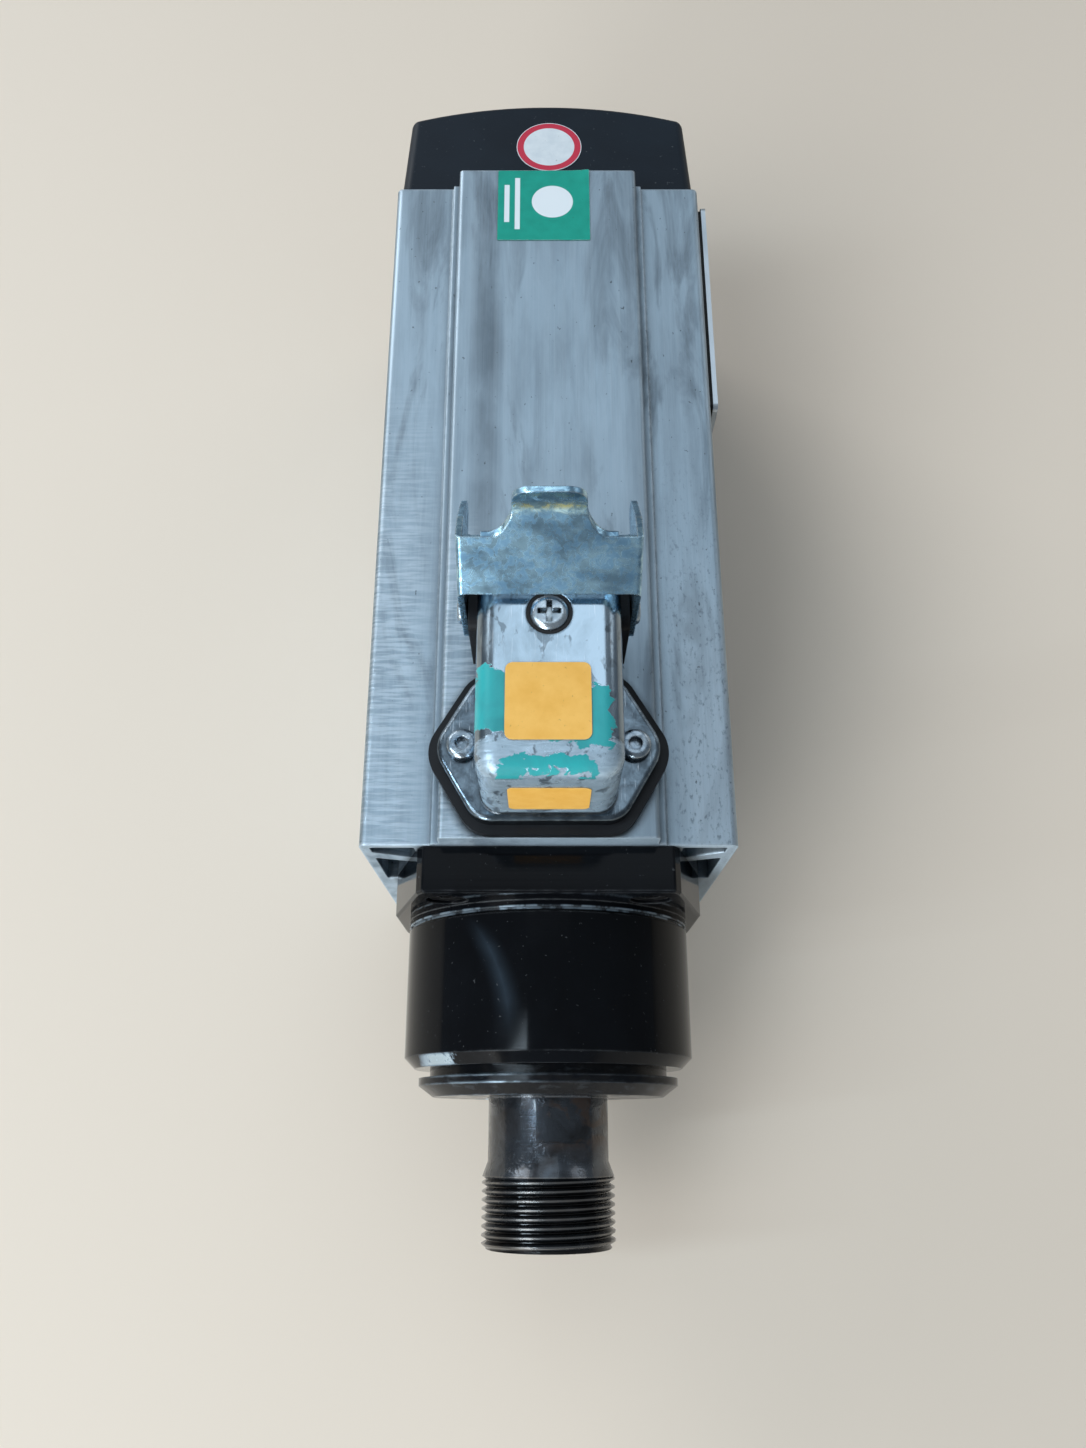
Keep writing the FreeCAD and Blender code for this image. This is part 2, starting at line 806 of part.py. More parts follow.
def stator_winding():
    """Copper of all slots with its end turns, one connected winding."""
    bars = round_the_bore(stator_slot(slot_liner), slot_count)
    front = end_turns(stator_front_y, stator_front_y - end_turn_length)
    rear = end_turns(stator_rear_y, stator_rear_y + end_turn_length)
    return fused([front, rear] + bars)


def rotor_core():
    return tube(stator_bore_r - rotor_gap, rotor_seat_d / 2, stator_front_y, stator_rear_y)


def rotor_end_ring(start_y):
    outer = stator_bore_r - rotor_gap
    return tube(outer, rotor_seat_d / 2, start_y, start_y + rotor_bar_ring)


def rear_shield_outline():
    """Rear shield's edge: as wide and as high as the tapering cover leaves room for at its rear face."""
    depth = shield_thickness
    half_width = cover_half - cover_wall - cover_taper * depth / cover_corner_length - slip_gap
    half_height = cover_half - cover_wall - cover_top_taper * depth / cover_top_length - slip_gap
    quarter = [(half_width, flange_side_half), (flange_top_half, half_height)]
    left_top = [(-x, z) for x, z in reversed(quarter)]
    left_bottom = [(-x, -z) for x, z in quarter]
    right_bottom = [(x, -z) for x, z in reversed(quarter)]
    return quarter + left_top + left_bottom + right_bottom


def cover_screw_places():
    return [(side, z) for side in (-1, 1) for z in (-cover_screw_z, cover_screw_z)]


def rear_shield():
    plate = rounded_face(rear_shield_outline(), [shield_round] * 8, along_y, body_rear_y)
    plate = plate.extrude(Vector(0, shield_thickness, 0))
    spigot_start = body_rear_y - shield_spigot
    rim_start = body_rear_y - shield_spigot / 2
    spigot = tube(bore_r, bore_r - shield_rim_wall, spigot_start, rim_start)
    disc = rod(bore_r, rim_start, body_rear_y)
    hub = rod(shield_hub_d / 2, rear_bearing_front_y - shield_hub_lip, body_rear_y)
    body = fused([plate, spigot, disc, hub])
    cuts = [
        rod(rear_bearing_od / 2, rear_bearing_front_y - 2, shield_rear_y - shield_floor),
        rod(shaft_hole_d / 2, rear_bearing_front_y - 2, shield_rear_y + 1),
    ]
    for x, z in four_ways(port_x, port_z):
        cuts.append(rod(m4_shank_d / 2 + slip_gap, body_rear_y - 1, shield_rear_y + 1, x, z))
        head_r = m4_head_d / 2 + head_clearance
        cuts.append(rod(head_r, shield_rear_y - m4_head_height, shield_rear_y + 1, x, z))
    for side, z in cover_screw_places():
        start = across(side, cover_face_x + 1, cover_screw_y, z)
        cuts.append(Part.makeCylinder(m3_shank_d / 2, cover_screw_length + 2, start, Vector(-side, 0, 0)))
    return body.cut(Part.makeCompound(cuts))


def rear_screws():
    seat = shield_rear_y - m4_head_height
    reach = shield_thickness - m4_head_height + port_depth - 3
    return Part.makeCompound([cap_screw(seat, -1, reach, x, z) for x, z in four_ways(port_x, port_z)])


def wave_spring():
    """Preload spring behind the rear bearing: a thin ring that rises and falls round its circle."""
    outer, inner = rear_bearing_od / 2 - slip_gap, rear_bearing_od / 2 - rear_race_wall
    base = rear_stack_y
    free = spring_space - spring_thickness
    steps = 4 * spring_waves
    edges = []
    for radius in (inner, outer):
        points = []
        for k in range(steps):
            angle = 2 * math.pi * k / steps
            lift = base + free * (0.5 + 0.5 * math.cos(spring_waves * angle))
            points.append(Vector(radius * math.cos(angle), lift, radius * math.sin(angle)))
        curve = Part.BSplineCurve()
        curve.interpolate(points, PeriodicFlag=True)
        edges.append(curve.toShape())
    ribbon = Part.makeRuledSurface(edges[0], edges[1])
    return ribbon.extrude(Vector(0, spring_thickness, 0))


def cooling_fan():
    """Moulded fan: hub, back disc and straight radial blades."""
    hub = rod(fan_hub_d / 2, fan_front_y, fan_rear_y)
    disc = rod(fan_r, fan_front_y, fan_front_y + fan_disc)
    blade = block(
        (fan_hub_d / 2 - 1, fan_front_y, -fan_blade_thickness / 2),
        (fan_r - 1, fan_rear_y - 1, fan_blade_thickness / 2),
    )
    fan = fused([hub, disc] + round_the_bore(blade, fan_blades))
    return fan.cut(rod(fan_seat_d / 2, fan_front_y - 1, fan_rear_y + 1))


def cover_plan(inset):
    """Top view of the fan cover as a face: straight tapering sides and a bowed rear edge."""
    half = cover_half - inset
    rear_half = half - cover_taper
    front_y = body_rear_y
    corner_y = body_rear_y + cover_corner_length - inset
    centre_y = body_rear_y + cover_centre_length - inset
    right, left = Vector(rear_half, corner_y, 0), Vector(-rear_half, corner_y, 0)
    rear_bow = Part.Arc(right, Vector(0, centre_y, 0), left)
    edges = [
        Part.makeLine(Vector(-half, front_y, 0), Vector(half, front_y, 0)),
        Part.makeLine(Vector(half, front_y, 0), Vector(rear_half, corner_y, 0)),
        rear_bow.toShape(),
        Part.makeLine(Vector(-rear_half, corner_y, 0), Vector(-half, front_y, 0)),
    ]
    return Part.Face(Part.Wire(edges))


def cover_form(inset, edge):
    """Full form of the cover: its top view stretched upwards, trimmed to a slightly tapering height."""
    reach = 2 * body_width
    form = cover_plan(inset).extrude(Vector(0, 0, reach))
    form.translate(Vector(0, 0, -reach / 2))
    half = cover_half - inset
    rear_half = half - cover_top_taper
    end_y = body_rear_y + cover_top_length
    side = Part.makePolygon([
        Vector(-reach, body_rear_y, -half),
        Vector(-reach, end_y, -rear_half),
        Vector(-reach, end_y, rear_half),
        Vector(-reach, body_rear_y, half),
        Vector(-reach, body_rear_y, -half),
    ])
    form = form.common(Part.Face(side).extrude(Vector(2 * reach, 0, 0)))
    rounding = edges_where(form, lambda p: p.y > body_rear_y + 1e-3)
    for edge_line in form.Edges:
        run = abs(edge_line.Vertexes[0].Point.y - edge_line.Vertexes[-1].Point.y)
        if run > cover_corner_length / 2:
            rounding.append(edge_line)
    unique = []
    for e in rounding:
        if not any(e.isSame(u) for u in unique):
            unique.append(e)
    return form.makeFillet(edge, unique)


def grille_slots():
    """Ring slots in the cover's rear wall, broken by spokes."""
    start = body_rear_y + cover_corner_length - 2 * cover_wall
    end = body_rear_y + cover_top_length
    rings = []
    for k in range(grille_rings):
        outer = grille_outer_r - k * grille_ring_pitch
        rings.append(tube(outer, outer - grille_slot_width, start, end))
    reach = 2 * grille_outer_r
    spokes = []
    for k in range(grille_spokes // 2):
        spoke = block((-reach, start, -grille_spoke_width / 2), (reach, end, grille_spoke_width / 2))
        spokes.append(spoke.rotate(Vector(0, 0, 0), Vector(0, 1, 0), 360 / grille_spokes * k))
    return Part.makeCompound(rings).cut(fused(spokes))


def countersunk(side, z, grow, length):
    """Countersunk head and shank pointing inwards from the cover's side face, all round larger by grow."""
    inward = Vector(-side, 0, 0)
    start = across(side, cover_face_x, cover_screw_y, z)
    head_r = m3_head_d / 2 + grow
    shank_r = m3_shank_d / 2 + grow
    head = Part.makeCone(head_r, shank_r, cover_screw_head_depth, start, inward)
    return head.fuse(Part.makeCylinder(shank_r, length, start, inward)).removeSplitter()


def fan_cover():
    shell = cover_form(0, cover_edge).cut(cover_form(cover_wall, cover_edge * 0.4))
    cuts = [grille_slots()]
    for side, z in cover_screw_places():
        cuts.append(countersunk(side, z, slip_gap, 2 * cover_wall))
        mouth = across(side, cover_face_x + 1, cover_screw_y, z)
        cuts.append(Part.makeCylinder(m3_head_d / 2 + slip_gap, 1, mouth, Vector(-side, 0, 0)))
    return shell.cut(Part.makeCompound(cuts))


def cover_screws():
    """Countersunk screws through the cover's sides into the rear shield."""
    screws = []
    for side, z in cover_screw_places():
        screw = countersunk(side, z, 0, cover_screw_length)
        low_x, high_x = sorted((side * (cover_face_x - recess_depth * 0.8), side * cover_face_x))
        long_half, slim_half = m3_shank_d * 0.6, m3_shank_d * 0.15
        for y_half, z_half in ((long_half, slim_half), (slim_half, long_half)):
            low = (low_x, cover_screw_y - y_half, z - z_half)
            screw = screw.cut(block(low, (high_x, cover_screw_y + y_half, z + z_half)))
        screws.append(screw)
    return Part.makeCompound(screws)


def plate_outline(inset, at):
    front, rear = plate_rear_y - plate_length + inset, plate_rear_y - inset
    low, top = plate_top_z - plate_height + inset, plate_top_z - inset
    points = [(front, low), (rear, low), (rear, top), (front, top)]
    return rounded_face(points, [plate_corner - inset / 2] * 4, along_x, at)


def name_plate():
    return plate_outline(0, half_body + plate_backing).extrude(Vector(plate_thickness, 0, 0))


def plate_tape():
    return plate_outline(backing_inset, half_body).extrude(Vector(plate_backing, 0, 0))


def foot_face(inset, at):
    """Six-sided outline shared by the gasket and the connector's foot."""
    half_w, half_l = gasket_half_width - inset * 1.15, gasket_half_length - inset
    flat = gasket_flat_half - inset * 0.45
    points = [(half_w, 0), (flat, half_l), (-flat, half_l), (-half_w, 0), (-flat, -half_l), (flat, -half_l)]
    points = [(x, y + connector_y) for x, y in points]
    side, end = gasket_side_round - inset * 0.6, gasket_end_round - inset * 0.6
    return rounded_face(points, [side, end, end, side, end, end], along_z, at)


def lead_window(low_z, high_z):
    half_x, half_y = shell_window_x / 2, shell_window_y / 2
    return block((-half_x, connector_y - half_y, low_z), (half_x, connector_y + half_y, high_z))


def connector_gasket():
    gasket = foot_face(0, pad_z).extrude(Vector(0, 0, gasket_thickness))
    cuts = [lead_window(pad_z - 1, pad_z + 5)]
    hole_r = m3_shank_d / 2 + slip_gap
    for side in (-1, 1):
        cuts.append(post(hole_r, pad_z - 1, pad_z + 5, side * connector_screw_x, connector_y))
    return gasket.cut(Part.makeCompound(cuts))


def connector_housing():
    """Die-cast angled shell on its six-sided foot, with the plug opening towards the rear."""
    foot_z = pad_z + gasket_thickness
    foot = foot_face(gasket_lip, foot_z).extrude(Vector(0, 0, foot_plate_thickness))
    brow = edges_where(foot, lambda p: abs(p.z - foot_z - foot_plate_thickness) < 1e-4)
    foot = foot.makeFillet(foot_edge, brow)
    half = shell_width / 2
    shell = block((-half, shell_front_y, pad_z + shell_underside), (half, shell_rear_y, shell_top_z))
    upright = edges_where(shell, lambda p: abs(p.y - shell_front_y) < 1e-4 and abs(abs(p.x) - half) < 1e-4)
    shell = shell.makeFillet(shell_front_round, upright)
    top = edges_where(shell, lambda p: abs(p.z - shell_top_z) < 1e-4)
    crown = [e for e in top if min(p.y for p in e.discretize(5)) < shell_rear_y - 1e-4]
    shell = shell.makeFillet(shell_top_round, crown)
    body = fused([foot, shell])
    room_half = insert_side / 2 + slip_gap
    low_z, high_z = insert_centre_z - room_half, insert_centre_z + room_half
    points = [(-room_half, low_z), (room_half, low_z), (room_half, high_z), (-room_half, high_z)]
    room_y = shell_front_y + 2 * shell_wall
    room = rounded_face(points, [insert_corner] * 4, along_y, room_y)
    cuts = [room.extrude(Vector(0, shell_rear_y + 1 - room_y, 0)), lead_window(foot_z - 1, low_z + 3)]
    for side in (-1, 1):
        hole_r = m3_shank_d / 2 + slip_gap
        cuts.append(post(hole_r, foot_z - 1, shell_top_z + 1, side * connector_screw_x, connector_y))
        pin_start = across(side, pivot_root_x, *pivot_point)
        cuts.append(Part.makeCylinder(pivot_d / 2, shell_width, pin_start, Vector(side, 0, 0)))
    screw_y = connector_y + insert_screw_y
    cuts.append(post(m3_shank_d / 2 + slip_gap, high_z - 1, shell_top_z + 1, 0, screw_y))
    recess_r = insert_screw_head_d / 2 + seal_ring_width + slip_gap
    cuts.append(post(recess_r, shell_top_z - insert_screw_sink, shell_top_z + 1, 0, screw_y))
    return body.cut(Part.makeCompound(cuts))


def connector_screws():
    screws = []
    seat = pad_z + gasket_thickness + foot_plate_thickness
    for side in (-1, 1):
        x = side * connector_screw_x
        head = post(m3_head_d / 2, seat, seat + m3_head_height, x, connector_y)
        rim = edges_where(head, lambda p: abs(p.z - seat - m3_head_height) < 1e-4)
        head = head.makeFillet(m3_head_height * 0.45, rim)
        shank = post(m3_shank_d / 2, pad_z - connector_screw_depth + 1, seat, x, connector_y)
        top = seat + m3_head_height
        socket = post(m3_shank_d * 0.4, top - recess_depth, top, x, connector_y)
        screws.append(head.fuse(shank).cut(socket))
    return Part.makeCompound(screws)


def contact_places():
    return [(x, insert_centre_z + z) for x, z in four_ways(contact_offset, contact_offset)]


def connector_insert():
    """Square insulating block with a plug recess at the rear."""
    half = insert_side / 2
    front_y = connector_y + insert_front_y
    length = insert_rear_y - front_y
    points = [(-half, insert_centre_z - half), (half, insert_centre_z - half),
              (half, insert_centre_z + half), (-half, insert_centre_z + half)]
    solid = rounded_face(points, [insert_corner] * 4, along_y, front_y).extrude(Vector(0, length, 0))
    inner = insert_recess_side / 2
    points = [(-inner, insert_centre_z - inner), (inner, insert_centre_z - inner),
              (inner, insert_centre_z + inner), (-inner, insert_centre_z + inner)]
    floor_y = insert_rear_y - insert_recess_depth
    recess = rounded_face(points, [insert_recess_corner] * 4, along_y, floor_y)
    recess = recess.extrude(Vector(0, insert_recess_depth + 1, 0))
    cuts = [recess]
    for x, z in contact_places():
        cuts.append(rod(contact_d / 2, floor_y - contact_root, floor_y + 1, x, z))
    screw_y = connector_y + insert_screw_y
    top_z = insert_centre_z + half
    cuts.append(post(m3_shank_d / 2, top_z - insert_screw_depth, top_z + 1, 0, screw_y))
    return solid.cut(Part.makeCompound(cuts))


def connector_contacts():
    floor_y = insert_rear_y - insert_recess_depth
    pins = []
    for x, z in contact_places():
        pin = rod(contact_d / 2, floor_y - contact_root, floor_y + contact_length, x, z)
        tip = edges_where(pin, lambda p: abs(p.y - floor_y - contact_length) < 1e-4)
        pins.append(pin.makeFillet(contact_d * 0.35, tip))
    return Part.makeCompound(pins)


def insert_screw():
    seat = insert_screw_seat_z
    top = seat + insert_screw_head_height
    y = connector_y + insert_screw_y
    head = post(insert_screw_head_d / 2, seat, top, 0, y)
    rim = edges_where(head, lambda p: abs(p.z - top) < 1e-4)
    head = head.makeFillet(insert_screw_head_height * 0.8, rim)
    low = insert_centre_z + insert_side / 2 - insert_screw_depth + 1
    shank = post(m3_shank_d / 2, low, seat, 0, y)
    recess = cross_recess(m3_shank_d * 1.25, 0.9, recess_depth, 0, y, top)
    return head.fuse(shank).cut(recess)


def screw_seal():
    y = connector_y + insert_screw_y
    ring = post(insert_screw_head_d / 2 + seal_ring_width, insert_screw_seat_z, shell_top_z, 0, y)
    return ring.cut(post(insert_screw_head_d / 2, insert_screw_seat_z - 1, shell_top_z + 1, 0, y))


def side_pads():
    """Plastic pads on the shell's cheeks that the lever's sides turn against."""
    y0, z0 = pivot_point
    pads = []
    for side in (-1, 1):
        start, end = sorted((side * shell_width / 2, side * side_pad_x))
        low_y = y0 - side_pad_width / 2 - 1
        high_y = connector_y + shell_rim_y
        low_z, high_z = z0 + side_pad_low, z0 + side_pad_high
        points = [(low_y, low_z), (high_y, low_z), (high_y, high_z), (low_y, high_z)]
        rounds = [side_pad_front_round, side_pad_rear_round, side_pad_rear_round, side_pad_front_round]
        pad = rounded_face(points, rounds, along_x, start).extrude(Vector(end - start, 0, 0))
        pads.append(pad.cut(pivot_line(pivot_d / 2)))
    return Part.makeCompound(pads)


def pivot_line(radius):
    """Cylinder on the lever's pivot axis, from well outside one cheek to well outside the other."""
    reach = 2 * lever_half_width
    return Part.makeCylinder(radius, 2 * reach, Vector(-reach, *pivot_point), Vector(1, 0, 0))


def pivot_pins():
    """Pins in the shell's cheeks that carry the lever, each with a low head outside it."""
    pins = []
    outer = lever_half_width + slip_gap
    face = outer + pivot_head_height
    for side in (-1, 1):
        outward = Vector(side, 0, 0)
        shank_start = across(side, pivot_root_x, *pivot_point)
        shank = Part.makeCylinder(pivot_d / 2, outer - pivot_root_x, shank_start, outward)
        head_start = across(side, outer, *pivot_point)
        head = Part.makeCylinder(pivot_head_d / 2, pivot_head_height, head_start, outward)
        rim = edges_where(head, lambda p: abs(p.x - side * face) < 1e-4)
        pins.append(shank.fuse(head.makeFillet(pivot_head_height * 0.6, rim)))
    return Part.makeCompound(pins)


def lever_side():
    """Outline of one cheek about its pivot: eye, front edge, bar edge, ear, and a hook open to the rear."""
    eye = lever_eye_r
    ear_y, ear_z = lever_ear
    slot_top = lever_slot_low + lever_slot_width
    corners = [
        ((-eye, -eye), eye * 0.98),
        ((eye, -eye), eye * 0.98),
        ((eye + 0.4, 1.4), 3.0),
        ((ear_y - 3.0, 2.6), 1.4),
        ((ear_y - 1.6, lever_slot_low), 0.8),
        ((lever_slot_end, lever_slot_low), 1.2),
        ((lever_slot_end, slot_top), 1.2),
        ((ear_y, slot_top), 0.8),
        ((ear_y, ear_z), 1.4),
        ((lever_bar_high[0] + 5.0, lever_bar_high[1] - 2.4), 3.0),
        (lever_bar_high, 0),
        (lever_bar_low, 0),
    ]
    return [c[0] for c in corners], [c[1] for c in corners]


def bar_line():
    """Ends of the bar's visible face, and the directions along it and through its sheet."""
    y0, z0 = pivot_point
    low = Vector(0, y0 + lever_bar_low[0], z0 + lever_bar_low[1])
    high = Vector(0, y0 + lever_bar_high[0], z0 + lever_bar_high[1])
    slope = (high - low).normalize()
    through = Vector(0, slope.z, -slope.y) * lever_sheet
    return low, high, slope, through


def lever_tab():
    """Finger tab: it carries on from the bar, stands up and leans forward, with rounded corners."""
    y0, z0 = pivot_point
    low, high, slope, through = bar_line()
    root = high - slope * 0.6
    start = high + slope * lever_tab_straight
    bend = Vector(0, y0 + lever_tab_bend[0], z0 + lever_tab_bend[1])
    tip = Vector(0, y0 + lever_tab_tip[0], z0 + lever_tab_tip[1])
    curve = Part.Arc(start, bend, tip)
    centre, radius = curve.toShape().Curve.Center, curve.toShape().Curve.Radius
    grow = (radius + lever_sheet) / radius
    start_back, bend_back, tip_back = [centre + (p - centre) * grow for p in (start, bend, tip)]
    section = Part.Face(Part.Wire([
        Part.makeLine(root, start),
        curve.toShape(),
        Part.makeLine(tip, tip_back),
        Part.Arc(tip_back, bend_back, start_back).toShape(),
        Part.makeLine(start_back, root + through),
        Part.makeLine(root + through, root),
    ]))
    width = 2 * lever_half_width
    section.translate(Vector(-width / 2, 0, 0))
    strip = section.extrude(Vector(width, 0, 0))
    foot, top = high.z - 0.2, tip.z
    half = lever_tab_half
    flare = half + lever_tab_root_round + 1
    below = foot - 4 * lever_sheet
    corners = [
        ((-flare, below), 0),
        ((flare, below), 0),
        ((flare, foot), 0),
        ((half, foot), lever_tab_root_round),
        ((half, top), lever_tab_round),
        ((-half, top), lever_tab_round),
        ((-half, foot), lever_tab_root_round),
        ((-flare, foot), 0),
    ]
    window = rounded_face([c[0] for c in corners], [c[1] for c in corners], along_y, high.y - width)
    return strip.common(window.extrude(Vector(0, 2 * width, 0)))


def locking_lever():
    """Sheet metal lever: two cheeks, a slanting bar between them and a finger tab."""
    y0, z0 = pivot_point
    points, radii = lever_side()
    points = [(y + y0, z + z0) for y, z in points]
    pieces = []
    for start in (-lever_half_width, lever_half_width - lever_sheet):
        cheek = rounded_face(points, radii, along_x, start)
        pieces.append(cheek.extrude(Vector(lever_sheet, 0, 0)))
    low, high, slope, through = bar_line()
    bar = Part.Face(Part.makePolygon([low, high, high + through, low + through, low]))
    bar.translate(Vector(-lever_half_width, 0, 0))
    pieces.append(bar.extrude(Vector(2 * lever_half_width, 0, 0)))
    pieces.append(lever_tab())
    lever = fused(pieces)
    folds = edges_where(lever, lambda p: abs(abs(p.x) - lever_half_width) < 1e-4 and on_bar(p, low, slope))
    lever = lever.makeFillet(lever_sheet * 0.8, folds)
    return lever.cut(pivot_line(pivot_d / 2 + pivot_gap))


def on_bar(point, low, slope):
    """True for a point on the bar's visible face, between its ends, seen from the side."""
    offset = Vector(0, point.y - low.y, point.z - low.z)
    reach = math.hypot(lever_bar_high[0] - lever_bar_low[0], lever_bar_high[1] - lever_bar_low[1])
    return offset.cross(slope).Length < 1e-3 and -1e-3 < offset.dot(slope) < reach + 1e-3


def motor_leads():
    """Insulated leads from the winding up through the body into the connector's insert."""
    outermost = lead_pitch * (lead_count - 1) / 2 + lead_d / 2
    start_z = math.sqrt(end_turn_outer_r ** 2 - outermost ** 2) + lead_lift
    top_z = insert_centre_z
    end_y = connector_y + insert_front_y
    leads = []
    for k in range(lead_count):
        x = (k - (lead_count - 1) / 2) * lead_pitch
        corner = Vector(x, lead_y, top_z)
        rise_end = corner - Vector(0, 0, lead_bend)
        run_start = corner + Vector(0, lead_bend, 0)
        middle = corner + Vector(0, 1, -1) * (lead_bend * (1 - math.sqrt(0.5)))
        path = Part.Wire([
            Part.makeLine(Vector(x, lead_y, start_z), rise_end),
            Part.Arc(rise_end, middle, run_start).toShape(),
            Part.makeLine(run_start, Vector(x, end_y, top_z)),
        ])
        section = Part.Wire(Part.makeCircle(lead_d / 2, Vector(x, lead_y, start_z), Vector(0, 0, 1)))
        leads.append(path.makePipeShell([section], True, False))
    return Part.makeCompound(leads)


nodes = {
    "motor_housing": motor_housing,
    "front_bearing_housing": front_housing,
    "front_housing_screws": front_screws,
    "bearing_retaining_ring": retaining_ring,
    "nose_dust_seal": dust_seal,
    "front_bearing_1_outer_ring": lambda: outer_race(*front_bearing_sizes, first_bearing_y),
    "front_bearing_2_outer_ring": lambda: outer_race(*front_bearing_sizes, second_bearing_y),
    "front_bearing_1_inner_ring": lambda: inner_race(*front_bearing_sizes, first_bearing_y),
    "front_bearing_2_inner_ring": lambda: inner_race(*front_bearing_sizes, second_bearing_y),
    "front_bearing_1_balls": lambda: ball_set(front_pitch_d, front_ball_d, front_ball_count, first_ball_y),
    "front_bearing_2_balls": lambda: ball_set(front_pitch_d, front_ball_d, front_ball_count, second_ball_y),
    "front_bearing_1_cage": lambda: ball_cage(front_pitch_d, front_ball_d, front_ball_count, first_ball_y),
    "front_bearing_2_cage": lambda: ball_cage(front_pitch_d, front_ball_d, front_ball_count, second_ball_y),
    "outer_ring_spacer": outer_spacer,
    "inner_ring_spacer": inner_spacer,
    "bearing_lock_washer": lock_washer,
    "bearing_locknut": locknut,
    "spindle_shaft": spindle_shaft,
    "rotor_core": rotor_core,
    "rotor_front_end_ring": lambda: rotor_end_ring(stator_front_y - rotor_bar_ring),
    "rotor_rear_end_ring": lambda: rotor_end_ring(stator_rear_y),
    "stator_core": stator_core,
    "stator_winding": stator_winding,
    "motor_leads": motor_leads,
    "rear_bearing_outer_ring": lambda: outer_race(*rear_bearing_sizes, rear_bearing_front_y),
    "rear_bearing_inner_ring": lambda: inner_race(*rear_bearing_sizes, rear_bearing_front_y),
    "rear_bearing_balls": lambda: ball_set(rear_pitch_d, rear_ball_d, rear_ball_count, rear_ball_y),
    "rear_bearing_cage": lambda: ball_cage(rear_pitch_d, rear_ball_d, rear_ball_count, rear_ball_y),
    "rear_bearing_circlip": lambda: circlip(rear_bearing_bore, rear_stack_y),
    "preload_wave_spring": wave_spring,
    "rear_shield": rear_shield,
    "rear_shield_screws": rear_screws,
    "cooling_fan": cooling_fan,
    "fan_circlip": lambda: circlip(fan_seat_d, fan_rear_y),
    "fan_cover": fan_cover,
    "fan_cover_screws": cover_screws,
    "name_plate": name_plate,
    "name_plate_backing": plate_tape,
    "connector_gasket": connector_gasket,
    "connector_housing": connector_housing,
    "connector_screws": connector_screws,
    "connector_insert": connector_insert,
    "connector_contacts": connector_contacts,
    "insert_screw": insert_screw,
    "insert_screw_seal": screw_seal,
    "connector_side_pads": side_pads,
    "lever_pivot_pins": pivot_pins,
    "locking_lever": locking_lever,
}

os.makedirs("parts", exist_ok=True)
for name, make in nodes.items():
    shape = make()
    if not shape.isValid() or not shape.Solids:
        print("check", name, shape.isValid(), len(shape.Solids))
    shape.exportStep(os.path.join("parts", name + ".step"))
    print(name, len(shape.Solids), round(sum(s.Volume for s in shape.Solids)))
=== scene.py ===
"""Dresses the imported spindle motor: finishes for all pieces, a cut nose thread, stickers and the bench."""

import math

import bpy
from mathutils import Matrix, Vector


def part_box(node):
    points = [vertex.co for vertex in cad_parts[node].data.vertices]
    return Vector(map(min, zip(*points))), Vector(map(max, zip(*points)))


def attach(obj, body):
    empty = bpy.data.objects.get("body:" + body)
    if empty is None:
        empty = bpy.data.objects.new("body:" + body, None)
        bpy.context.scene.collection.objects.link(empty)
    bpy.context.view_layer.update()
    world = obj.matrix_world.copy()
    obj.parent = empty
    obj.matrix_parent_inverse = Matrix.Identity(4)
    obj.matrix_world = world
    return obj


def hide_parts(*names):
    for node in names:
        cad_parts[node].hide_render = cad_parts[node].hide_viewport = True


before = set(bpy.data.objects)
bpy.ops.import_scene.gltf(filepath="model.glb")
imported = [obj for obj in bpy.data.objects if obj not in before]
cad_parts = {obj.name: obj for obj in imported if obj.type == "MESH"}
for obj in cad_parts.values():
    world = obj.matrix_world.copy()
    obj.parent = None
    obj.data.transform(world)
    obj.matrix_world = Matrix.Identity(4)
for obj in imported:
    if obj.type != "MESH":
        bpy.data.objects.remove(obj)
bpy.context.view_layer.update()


# The bench that the motor lies on, and the light over it: a plain pale top, a wide soft window behind on
# the left, two lower ones in front on the left, weak light from the right and from above, and an even
# glow from all round. The camera looks steeply down from above the nose.
bench_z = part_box("motor_housing")[0].z
bench_colour = (0.72, 0.63, 0.53, 1)
bench_size = 6
bench_roughness = 0.65
glow_colour = (0.82, 0.91, 1.0, 1)
glow_strength = 0.26
motor_middle = Vector((0, 0.07, 0.02))
photo_height_px = 1448
focal_px = 1087
sensor_mm = 36
camera_place = (-0.001, -0.0385, 0.223)
camera_drop_degrees = 69.7


def plug(tree, value, socket):
    """Gives a socket a plain value, or links it to the output that feeds it."""
    if isinstance(value, bpy.types.NodeSocket):
        tree.links.new(value, socket)
    else:
        socket.default_value = value


def add_node(tree, kind, inputs=None, **settings):
    """Adds a shader node; inputs holds plain values for its sockets, or the outputs that feed them."""
    made = tree.nodes.new("ShaderNode" + kind)
    for name, value in settings.items():
        setattr(made, name, value)
    for name, value in (inputs or {}).items():
        plug(tree, value, made.inputs[name])
    return made


def feed(tree, shader, **values):
    """Gives the shader's sockets plain values or the outputs that feed them, underscores for spaces."""
    for name, value in values.items():
        plug(tree, value, shader.inputs[name.replace("_", " ")])


def new_finish(name):
    """A new material, its node tree and its Principled shader."""
    material = bpy.data.materials.new(name)
    material.use_nodes = True
    return material, material.node_tree, material.node_tree.nodes["Principled BSDF"]


def soft_light(name, place, width, length, watts, colour):
    """Rectangular lamp at a place, turned to face the motor."""
    bpy.ops.object.light_add(type="AREA", location=place)
    lamp = bpy.context.object
    lamp.name = name
    lamp.rotation_euler = (motor_middle - Vector(place)).to_track_quat("-Z", "Y").to_euler()
    lamp.data.shape = "RECTANGLE"
    lamp.data.size = width
    lamp.data.size_y = length
    lamp.data.energy = watts
    lamp.data.color = colour
    return lamp


